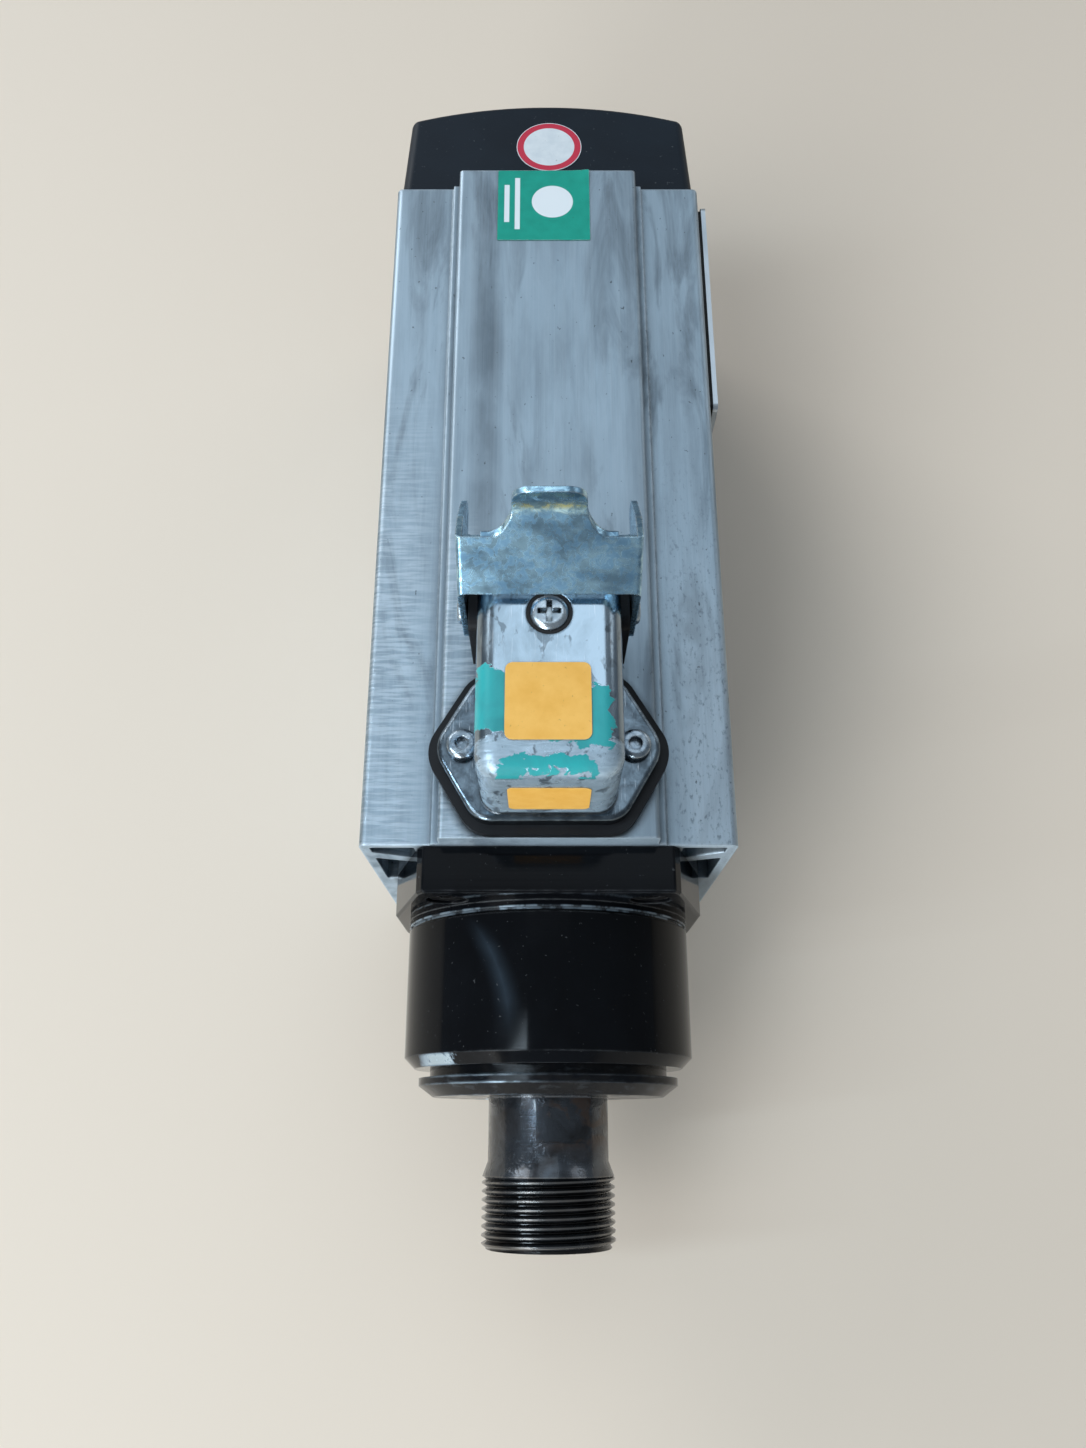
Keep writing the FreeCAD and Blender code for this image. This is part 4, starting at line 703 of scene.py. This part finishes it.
def oily_shaft_steel():
    material, tree, shader = new_finish("oily_shaft_steel")
    across, along, up = object_axes(tree)
    from_middle = radius(tree, across, up)
    crest = stretch(tree, from_middle, *bright_crest_r)
    root = stretch(tree, from_middle, *darker_root_r)
    on_nose = stretch(tree, along, nose_start_y, nose_start_y - 0.0003)
    on_thread = stretch(tree, along, thread_start_y, thread_start_y - 0.0006)
    on_flats = both(tree, on_nose, stretch(tree, along, flats_front_y, flats_front_y + 0.0025))
    turning = patch(tree, (2.0, 0.0003, 2.0), 2, 0.3, 0.7)
    soot = patch(tree, (0.006, 0.007, 0.006), 6, 0.38, 0.66, warp=0.5)
    rust = patch(tree, (0.006, 0.0045, 0.006), 6, 0.47, 0.56, warp=0.7)
    drops = patch(tree, (0.0022, 0.0026, 0.0022), 2, 0.55, 0.8, warp=0.3)
    rusted = both(tree, both(tree, rust, on_nose), total(tree, both(tree, on_flats, 0.75), 0.15))
    rusted = both(tree, rusted, stretch(tree, across, -0.003, 0.002, 0.15, 1.0))

    colour = mix(tree, soot, (0.075, 0.088, 0.105), (0.022, 0.023, 0.026))
    colour = mix(tree, rusted, colour, (0.05, 0.028, 0.018))
    # the thread's roots darker, and its crests rubbed bright with a painted highlight
    colour = mix(tree, both(tree, root, on_thread), colour, (0.012, 0.011, 0.011))
    colour = mix(tree, both(tree, crest, on_thread), colour, (0.38, 0.35, 0.31), share=0.3)
    inner = mix(tree, turning, (0.36, 0.37, 0.38), (0.5, 0.51, 0.52))
    colour = mix(tree, on_nose, inner, colour)
    rough = total(tree, between(tree, soot, 0.22, 0.34), both(tree, rusted, 0.15))
    feed(tree, shader, Base_Color=colour, Metallic=between(tree, rusted, 0.9, 0.3), Roughness=rough)
    feed(tree, shader, Coat_Weight=0.5, Coat_Roughness=0.07)
    glints = both(tree, drops, combine(tree, "SUBTRACT", on_nose, on_thread))
    relief = total(tree, glints, both(tree, turning, 0.12))
    rough_surface(tree, shader, relief, 0.45, 0.0002)
    return material


shaft = threaded_shaft()
shaft.data.materials.clear()
shaft.data.materials.append(oily_shaft_steel())
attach(shaft, "spindle")
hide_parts("spindle_shaft")


# The rotor: a stack of thin electrical sheets on the shaft, with the bars and end rings of a squirrel
# cage cast through it in aluminium.
def sheet_stack(name, face, seam):
    material, tree, shader = new_finish(name)
    sheets = patch(tree, (3.0, 0.0005, 3.0), 1, 0.38, 0.56)
    varnish = patch(tree, (0.006, 0.012, 0.006), 5, 0.4, 0.7)
    shade = mix(tree, sheets, seam, face)
    shade = mix(tree, varnish, shade, (0.11, 0.07, 0.045), share=0.4)
    feed(tree, shader, Base_Color=shade, Metallic=0.85, Roughness=between(tree, varnish, 0.35, 0.55))
    rough_surface(tree, shader, sheets, 0.4, 0.00006)
    return material


def cast_metal(name, colour, shadow, grain, roughness):
    material, tree, shader = new_finish(name)
    skin = patch(tree, grain, 5, 0.35, 0.7)
    cloud = patch(tree, 0.009, 4, 0.4, 0.7)
    edges = rubbed(tree, 0.0005, 4, 0.002)
    shade = mix(tree, cloud, colour, shadow, share=0.5)
    shade = mix(tree, edges, shade, (0.75, 0.77, 0.79), share=0.4)
    rough = between(tree, skin, roughness, roughness + 0.15)
    feed(tree, shader, Base_Color=shade, Metallic=1.0, Roughness=rough)
    rough_surface(tree, shader, skin, 0.3, 0.00006)
    return material


dress(sheet_stack("rotor_sheets", (0.30, 0.31, 0.32), (0.10, 0.10, 0.11)), "rotor_core")
cage_aluminium = cast_metal("cast_cage_aluminium", (0.62, 0.63, 0.65), (0.42, 0.43, 0.45), 0.0006, 0.4)
dress(cage_aluminium, "rotor_front_end_ring", "rotor_rear_end_ring")


# The stator: stacked sheets pressed into the body, copper wire wound through its slots and bound with
# varnished cord at both ends, and four insulated leads up to the connector.
def wound_copper():
    material, tree, shader = new_finish("wound_copper")
    wires = patch(tree, (0.0007, 0.006, 0.0007), 2, 0.35, 0.62)
    cloud = patch(tree, 0.007, 4, 0.4, 0.7)
    shade = mix(tree, wires, (0.20, 0.065, 0.022), (0.52, 0.20, 0.08))
    shade = mix(tree, cloud, shade, (0.24, 0.09, 0.035), share=0.5)
    feed(tree, shader, Base_Color=shade, Metallic=0.6, Roughness=between(tree, wires, 0.5, 0.28))
    feed(tree, shader, Coat_Weight=0.4, Coat_Roughness=0.2)
    rough_surface(tree, shader, wires, 0.6, 0.0002)
    return material


def lead_sleeve():
    material, tree, shader = new_finish("lead_sleeve")
    scuff = patch(tree, (0.002, 0.002, 0.004), 5, 0.4, 0.7)
    shade = mix(tree, scuff, (0.30, 0.035, 0.025), (0.20, 0.03, 0.025), share=0.5)
    feed(tree, shader, Base_Color=shade, Roughness=between(tree, scuff, 0.35, 0.55))
    rough_surface(tree, shader, scuff, 0.15, 0.00005)
    return material


dress(sheet_stack("stator_sheets", (0.26, 0.27, 0.29), (0.08, 0.08, 0.09)), "stator_core")
dress(wound_copper(), "stator_winding")
dress(lead_sleeve(), "motor_leads")


# The rear shield that carries the rear bearing: a die-cast aluminium plate with a turned seat. Beside it
# sit the bearing's spring and the two circlips, all of blued spring steel.
def spring_blue():
    material, tree, shader = new_finish("blued_spring_steel")
    tint = patch(tree, 0.004, 4, 0.35, 0.7)
    edges = rubbed(tree, 0.0002, 5, 0.001)
    shade = mix(tree, tint, (0.05, 0.06, 0.085), (0.11, 0.10, 0.10))
    shade = mix(tree, edges, shade, (0.4, 0.41, 0.43), share=0.5)
    feed(tree, shader, Base_Color=shade, Metallic=1.0, Roughness=between(tree, tint, 0.22, 0.36))
    rough_surface(tree, shader, tint, 0.08, 0.00002)
    return material


shield_metal = cast_metal("cast_shield_aluminium", (0.52, 0.54, 0.57), (0.34, 0.36, 0.39), 0.0009, 0.42)
dress(shield_metal, "rear_shield")
dress(spring_blue(), "preload_wave_spring", "rear_bearing_circlip", "fan_circlip")


# The cooling fan and its cover: black glass-filled nylon, moulded with a fine matt grain that catches a
# bluish light. Four countersunk screws hold the cover to the shield.
def grained_nylon(name, colour, sheen, grain, roughness):
    material, tree, shader = new_finish(name)
    texture = patch(tree, grain, 3, 0.3, 0.7)
    cloud = patch(tree, (0.018, 0.012, 0.018), 4, 0.38, 0.72)
    dust = patch(tree, 0.0008, 2, 0.7, 0.75)
    edges = rubbed(tree, 0.0006, 3, 0.003)
    shade = mix(tree, cloud, colour, sheen, share=0.6)
    shade = mix(tree, edges, shade, (0.07, 0.08, 0.09), share=0.25)
    shade = mix(tree, dust, shade, (0.16, 0.17, 0.18), share=0.35)
    rough = between(tree, cloud, roughness, roughness + 0.1)
    feed(tree, shader, Base_Color=shade, Roughness=rough, IOR=1.27)
    rough_surface(tree, shader, texture, 0.18, 0.00004, rounding=0.0003)
    return material


cover_nylon = grained_nylon("cover_nylon", (0.004, 0.009, 0.016), (0.008, 0.016, 0.026), 0.0004, 0.44)
fan_nylon = grained_nylon("fan_nylon", (0.014, 0.014, 0.015), (0.022, 0.022, 0.024), 0.0006, 0.42)
dress(cover_nylon, "fan_cover")
dress(fan_nylon, "cooling_fan")
dress(screw_black, "fan_cover_screws")


# The name plate on the right flank: thin anodised aluminium, etched with a plain frame and empty data
# fields, on a black adhesive foam backing.
plate_low, plate_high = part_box("name_plate")
head_band_start = 0.74
rows_per_height = 5.4
columns = 3.0


def etched_plate():
    material, tree, shader = new_finish("etched_plate")
    along, up = object_axes(tree)[1:]
    brush = patch(tree, (0.004, 0.03, 0.00018), 3, 0.3, 0.7)
    smear_and_streak = patch(tree, (0.01, 0.014, 0.008), 5, 0.45, 0.7)
    along = stretch(tree, along, plate_low.y, plate_high.y)
    up = stretch(tree, up, plate_low.z, plate_high.z)
    from_middle = combine(tree, "ABSOLUTE", combine(tree, "SUBTRACT", along, 0.5))
    from_half = combine(tree, "ABSOLUTE", combine(tree, "SUBTRACT", up, 0.5))
    inside = both(tree, stretch(tree, from_middle, 0.469, 0.467), stretch(tree, from_half, 0.442, 0.438))
    head_band = both(tree, inside, stretch(tree, up, head_band_start - 0.002, head_band_start + 0.002))
    row = combine(tree, "FRACT", both(tree, up, rows_per_height))
    rule = both(tree, stretch(tree, row, 0.05, 0.03), stretch(tree, up, 0.70, 0.69))
    column = combine(tree, "FRACT", both(tree, along, columns))
    upright = both(tree, stretch(tree, column, 0.022, 0.012), stretch(tree, up, head_band_start, 0.73))
    etched = either(tree, either(tree, rule, upright), either(tree, inverse(tree, inside), head_band))
    rim = either(tree, stretch(tree, from_middle, 0.486, 0.488), stretch(tree, from_half, 0.474, 0.477))
    etched = both(tree, etched, inverse(tree, rim))

    face = mix(tree, brush, (0.52, 0.58, 0.63), (0.66, 0.72, 0.77), share=0.5)
    face = mix(tree, smear_and_streak, face, (0.36, 0.41, 0.45), share=0.4)
    shade = mix(tree, etched, face, (0.02, 0.022, 0.025))
    metal = between(tree, etched, 1.0, 0.0)
    feed(tree, shader, Base_Color=shade, Metallic=metal, Roughness=between(tree, brush, 0.3, 0.42))
    rough_surface(tree, shader, combine(tree, "SUBTRACT", brush, etched), 0.2, 0.00003)
    return material


dress(etched_plate(), "name_plate")
dress(rubber("adhesive_foam", (0.012, 0.012, 0.013), (0.05, 0.05, 0.05), 0.25), "name_plate_backing")


# The plug connector: a die-cast zinc foot and shell, nickel plated and polished, on a moulded rubber
# gasket. Torn teal film and wrinkled clear tape still stick to the shell, the rest is smudged.
shell_front_y = 0.0114
shell_top_z = 0.0672
foot_top_z = 0.0445
film_teal = (0.02, 0.345, 0.36)
film_shade = (0.015, 0.27, 0.29)
film_middle = (-0.0012, 0.0218)
film_half_size = (0.0106, 0.0052)
film_slant = 0.17
film_strip_middle = (-0.0004, 0.0136)
film_strip_half_size = (0.0076, 0.0013)
film_strip_bow = 30.0
tape_grey = (0.26, 0.36, 0.44)
tape_bright = (0.42, 0.55, 0.66)
tape_rear_y = 0.0172
tape_half_width = 0.0112
sharp_border = 0.0001
top_face_z = (0.0634, 0.0640)
shaded_flanks_x = (0.0088, 0.0104)


def block(tree, across, along, middle, half_size):
    """1 inside the rectangle of that middle and half its width and length."""
    wide = near(tree, across, middle[0], half_size[0], sharp_border)
    return both(tree, wide, near(tree, along, middle[1], half_size[1], sharp_border))


def polished_nickel():
    material, tree, shader = new_finish("polished_nickel")
    across, along, up = object_axes(tree)
    torn = patch(tree, (0.0035, 0.0022, 0.0035), 6, 0.0, 1.0, warp=0.6)
    torn = stretch(tree, torn, 0.3, 0.7, -0.0011, 0.0011)
    ragged_along = total(tree, along, torn)
    ragged_across = total(tree, across, torn)
    on_shell = stretch(tree, up, foot_top_z, foot_top_z + 0.001)
    on_foot = stretch(tree, up, foot_top_z + 0.0005, foot_top_z)
    on_top = stretch(tree, up, *top_face_z)

    slanted = total(tree, ragged_along, both(tree, across, film_slant))
    bowed = total(tree, ragged_along, both(tree, both(tree, across, across), film_strip_bow))
    wide = block(tree, ragged_across, slanted, film_middle, film_half_size)
    strip = block(tree, ragged_across, bowed, film_strip_middle, film_strip_half_size)
    film = both(tree, either(tree, wide, strip), on_top)
    in_front = stretch(tree, ragged_along, tape_rear_y, tape_rear_y - 0.0004)
    tape = both(tree, on_shell, near(tree, ragged_across, 0.0, reach=tape_half_width, soft=0.0004))
    tape = both(tree, both(tree, in_front, tape), inverse(tree, film))

    smudge = patch(tree, (0.006, 0.009, 0.008), 6, 0.46, 0.66, warp=0.4)
    stain = patch(tree, (0.0028, 0.0045, 0.004), 5, 0.57, 0.62, warp=0.5)
    scratch = patch(tree, (0.0002, 0.006, 0.0002), 3, 0.62, 0.7, warp=0.2)
    pitted = patch(tree, (0.0022, 0.0022, 0.002), 6, 0.36, 0.62, warp=0.4)
    wrinkle = patch(tree, (0.004, 0.0012, 0.003), 6, 0.35, 0.65, warp=1.2)
    edges = rubbed(tree, 0.0006, 4, 0.0025)
    dirt_and_shade = use(tree, crevice_dirt_and_shade, Reach=0.0012, Strength=1.4)
    # painted shade: the shell's side fillets darkened for the dark room they mirror
    shaded_flanks = both(tree, on_shell, stretch(tree, combine(tree, "ABSOLUTE", across), *shaded_flanks_x))
    foot_shade = mix(tree, pitted, (0.03, 0.042, 0.055), (0.14, 0.185, 0.225))
    tape_shade = mix(tree, wrinkle, tape_grey, tape_bright)
    shade = mix(tree, smudge, (0.46, 0.58, 0.68), (0.25, 0.33, 0.39), share=0.4)
    shade = mix(tree, stain, shade, (0.14, 0.18, 0.21), share=0.7)
    shade = mix(tree, on_foot, shade, foot_shade, share=0.9)
    shade = mix(tree, shaded_flanks, shade, (0.15, 0.19, 0.23), share=0.7)
    shade = mix(tree, scratch, shade, (0.8, 0.85, 0.9), share=0.5)
    shade = mix(tree, edges, shade, (0.85, 0.90, 0.95), share=0.35)
    shade = mix(tree, tape, shade, tape_shade, share=0.75)
    shade = mix(tree, both(tree, tape, both(tree, stain, 0.8)), shade, (0.09, 0.12, 0.15))
    shade = mix(tree, film, shade, mix(tree, smudge, film_teal, film_shade))
    # painted shade: closed-in corners and gaps darkened, together with dirt
    shade = mix(tree, dirt_and_shade, shade, grime_and_shade_colour, share=0.85)
    coated = either(tree, film, both(tree, tape, 0.6))
    rough = total(tree, between(tree, smudge, 0.13, 0.26), both(tree, coated, 0.2))
    feed(tree, shader, Base_Color=shade, Metallic=between(tree, coated, 1.0, 0.0), Roughness=rough)
    relief = total(tree, both(tree, tape, wrinkle), both(tree, film, 0.7))
    relief = total(tree, relief, both(tree, smudge, both(tree, on_shell, 0.08)))
    rough_surface(tree, shader, relief, 0.35, 0.00012, rounding=0.0005)
    return material


def zinc_plate(name, colour, cloudy, spangle):
    """Zinc-plated steel: cool grey with small cloudy flakes and rubbed edges."""
    material, tree, shader = new_finish(name)
    flakes = patch(tree, spangle, 5, 0.41, 0.59, warp=0.8)
    smear_and_streak = patch(tree, (0.008, 0.005, 0.005), 5, 0.42, 0.62)
    edges = rubbed(tree, 0.00025, 4, 0.005)
    dirt_and_shade = use(tree, crevice_dirt_and_shade, Reach=0.0008, Strength=1.6)
    shade = mix(tree, flakes, colour, cloudy, share=0.75)
    shade = mix(tree, smear_and_streak, shade, (0.08, 0.16, 0.25), share=0.6)
    # painted shade: closed-in corners and gaps darkened, together with dirt
    shade = mix(tree, dirt_and_shade, shade, grime_and_shade_colour, share=0.8)
    shade = mix(tree, edges, shade, (0.85, 0.90, 0.94), share=0.6)
    feed(tree, shader, Base_Color=shade, Metallic=1.0, Roughness=between(tree, flakes, 0.2, 0.34))
    rough_surface(tree, shader, flakes, 0.12, 0.00003, rounding=0.00035)
    return material


dress(polished_nickel(), "connector_housing")
dress(rubber("gasket_rubber", (0.006, 0.007, 0.009), (0.02, 0.023, 0.027), 0.25), "connector_gasket")
dress(zinc_plate("zinc_screw_heads", (0.42, 0.48, 0.53), (0.22, 0.27, 0.31), 0.0012), "connector_screws")
dress(zinc_plate("insert_screw_zinc", (0.60, 0.68, 0.74), (0.40, 0.46, 0.5), 0.002), "insert_screw")


# The connector's insert, seen behind the lever: glass-filled nylon, moulded in grey with a brownish cast,
# and the four turned brass contacts in it, silver plated.
def moulded_insert():
    material, tree, shader = new_finish("moulded_insert")
    grain = patch(tree, 0.0005, 3, 0.3, 0.7)
    grime = patch(tree, (0.005, 0.005, 0.004), 5, 0.42, 0.68)
    shade = mix(tree, grime, (0.115, 0.12, 0.122), (0.06, 0.052, 0.045), share=0.7)
    feed(tree, shader, Base_Color=shade, Roughness=between(tree, grime, 0.42, 0.6))
    rough_surface(tree, shader, grain, 0.2, 0.00004)
    return material


silver, tarnish = (0.80, 0.78, 0.72), (0.45, 0.40, 0.30)
contact_silver = ground_steel("silvered_contacts", silver, tarnish, 0.0003, 0.2, 0.32)
dress(moulded_insert(), "connector_insert")
dress(contact_silver, "connector_contacts")


# The locking lever: a stamped and zinc-plated steel bail that swings over the connector on two riveted
# pins, with a black plastic pad in the gap between each of its sides and the shell; the pads also stand
# in for the deep shade in those gaps.
dress(zinc_plate("lever_zinc_plate", (0.56, 0.85, 1.0), (0.10, 0.22, 0.36), 0.0015), "locking_lever")
dress(zinc_plate("pin_zinc_plate", (0.46, 0.53, 0.58), (0.28, 0.34, 0.38), 0.001), "lever_pivot_pins")
# near-black pads that stand in for the deep shade in the gaps beside the lever
pad_nylon = grained_nylon("side_pad_nylon", (0.008, 0.008, 0.009), (0.014, 0.014, 0.016), 0.0005, 0.4)
dress(pad_nylon, "connector_side_pads")


# The stickers: printed vinyl, a tenth of a millimetre thick. Two plain amber ones lie on the connector's
# shell, a green one with a white disc and two pale bars on the pad, and a white one ringed in red on the
# fan cover.
sticker_thickness = 0.0001
sticker_lift = 0.00003
vinyl_edge = (0.75, 0.74, 0.72)
amber = (0.87, 0.50, 0.12)
amber_shade = (0.80, 0.43, 0.085)
label_green = (0.0, 0.30, 0.225)
label_white = (0.70, 0.76, 0.80)
ring_red = (0.53, 0.03, 0.065)
top_amber_middle = (-0.0002, 0.0230)
top_amber_size = (0.0134, 0.0128)
front_amber_middle_z = 0.0533
front_amber_size = (0.0134, 0.0120)
green_low_x, green_high_x = -0.0109, 0.0092
green_length = 0.0196
disc_middle = (0.00105, 0.1515)
disc_radius = 0.00455
round_middle = (0.0004, 0.1745)
round_radius = 0.0075
red_ring_width = 0.0014
round_rim = 0.0002
round_corners = 96
green_bars = (((-0.0066, 0.1510), (0.0005, 0.0072)), ((-0.0089, 0.1510), (0.0005, 0.0052)))
green_corner_lift = 0.0004
green_curl_start = 0.7
green_gap_to_rear = 0.0002
amber_corner = 0.0012
green_corner = 0.0003
cuts_across = 10
corner_segments = 6
vinyl_smooth_degrees = 40


def flat_sticker(name, width, length, corner):
    """Rounded rectangle of vinyl lying on the floor of its own space, cut fine enough to curl."""
    bpy.ops.object.select_all(action="DESELECT")
    bpy.ops.mesh.primitive_plane_add(size=1)
    piece = bpy.context.object
    piece.name = name
    edit_all()
    bpy.ops.transform.resize(value=(width, length, 1))
    bpy.ops.mesh.bevel(offset=corner, segments=corner_segments, affect="VERTICES")
    for k in range(1, cuts_across):
        share = k / cuts_across - 0.5
        for place, normal in (((width * share, 0, 0), (1, 0, 0)), ((0, length * share, 0), (0, 1, 0))):
            bpy.ops.mesh.select_all(action="SELECT")
            bpy.ops.mesh.bisect(plane_co=place, plane_no=normal, threshold=cut_threshold)
    enter("OBJECT")
    return piece


def thicken(piece):
    """Gives a sticker its thickness, outwards from the face that it sticks to."""
    only(piece)
    body = piece.modifiers.new("vinyl", "SOLIDIFY")
    body.thickness = sticker_thickness
    body.offset = 1
    bpy.ops.object.modifier_apply(modifier="vinyl")
    edit_all()
    bpy.ops.mesh.normals_make_consistent(inside=False)
    enter("OBJECT")
    bpy.ops.object.shade_smooth_by_angle(angle=math.radians(vinyl_smooth_degrees))


def put(piece, place, turn=(0, 0, 0)):
    """Moves and turns a finished sticker to its place and fixes that in its mesh."""
    only(piece)
    piece.location = place
    piece.rotation_euler = turn
    bpy.ops.object.transform_apply()


def vinyl(name, colour, shade_colour):
    """Printed vinyl with faint mottling, small scuffs and a pale cut edge."""
    material, tree, shader = new_finish(name)
    cloud = patch(tree, 0.003, 5, 0.35, 0.7)
    scuffs = patch(tree, (0.0006, 0.0008, 0.0006), 3, 0.68, 0.74)
    edges = rubbed(tree, 0.00012, 3, 0.002)
    shade = mix(tree, cloud, colour, shade_colour)
    shade = mix(tree, scuffs, shade, grime_and_shade_colour, share=0.4)
    shade = mix(tree, edges, shade, vinyl_edge, share=0.5)
    feed(tree, shader, Base_Color=shade, Roughness=between(tree, cloud, 0.3, 0.42), IOR=1.33)
    rough_surface(tree, shader, cloud, 0.12, 0.00005)
    return material, tree, shader, shade


amber_vinyl = vinyl("amber_vinyl", amber, amber_shade)[0]
top_amber = flat_sticker("amber_sticker_top", *top_amber_size, amber_corner)
put(top_amber, (*top_amber_middle, shell_top_z + sticker_lift))
thicken(top_amber)
front_amber = flat_sticker("amber_sticker_front", *front_amber_size, amber_corner)
put(front_amber, (0, shell_front_y - sticker_lift, front_amber_middle_z), (math.radians(90), 0, 0))
thicken(front_amber)
for sticker in (top_amber, front_amber):
    sticker.data.materials.append(amber_vinyl)
    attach(sticker, "motor_frame")


def green_print():
    material, tree, shader, face = vinyl("green_label_vinyl", label_green, (0.0, 0.26, 0.195))
    across, along = object_axes(tree)[:2]
    out = radius(tree, across, along, disc_middle)
    printed = stretch(tree, out, disc_radius, disc_radius - sharp_border)
    for middle, half_size in green_bars:
        printed = either(tree, printed, block(tree, across, along, middle, half_size))
    feed(tree, shader, Base_Color=mix(tree, printed, face, label_white))
    return material


pad_top_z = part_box("connector_gasket")[0].z
body_rear_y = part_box("motor_housing")[1].y
green_width = green_high_x - green_low_x
green_middle_y = body_rear_y - green_length / 2 - green_gap_to_rear
green_label = flat_sticker("green_label", green_width, green_length, green_corner)
for vertex in green_label.data.vertices:
    corner = vertex.co.x / green_width + vertex.co.y / green_length
    vertex.co.z += green_corner_lift * (max(corner - green_curl_start, 0) / (1 - green_curl_start)) ** 2
put(green_label, ((green_low_x + green_high_x) / 2, green_middle_y, pad_top_z + sticker_lift))
thicken(green_label)
green_label.data.materials.append(green_print())
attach(green_label, "motor_frame")


def ringed_print():
    material, tree, shader, face = vinyl("ringed_sticker_vinyl", label_white, (0.60, 0.67, 0.72))
    out = radius(tree, *object_axes(tree)[:2], round_middle)
    ring_middle_r = round_radius - round_rim - red_ring_width / 2
    ring = near(tree, out, ring_middle_r, reach=red_ring_width / 2, soft=0.00008)
    feed(tree, shader, Base_Color=mix(tree, ring, face, ring_red))
    return material


bpy.ops.object.select_all(action="DESELECT")
bpy.ops.mesh.primitive_circle_add(vertices=round_corners, radius=round_radius, fill_type="TRIFAN")
round_sticker = bpy.context.object
round_sticker.name = "ringed_sticker"
put(round_sticker, (*round_middle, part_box("fan_cover")[1].z + 0.002))
laid = round_sticker.modifiers.new("laid on the cover", "SHRINKWRAP")
laid.wrap_method = "PROJECT"
laid.use_project_z = True
laid.use_positive_direction = False
laid.use_negative_direction = True
laid.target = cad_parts["fan_cover"]
laid.offset = sticker_lift
bpy.ops.object.modifier_apply(modifier="laid on the cover")
thicken(round_sticker)
round_sticker.data.materials.append(ringed_print())
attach(round_sticker, "motor_frame")
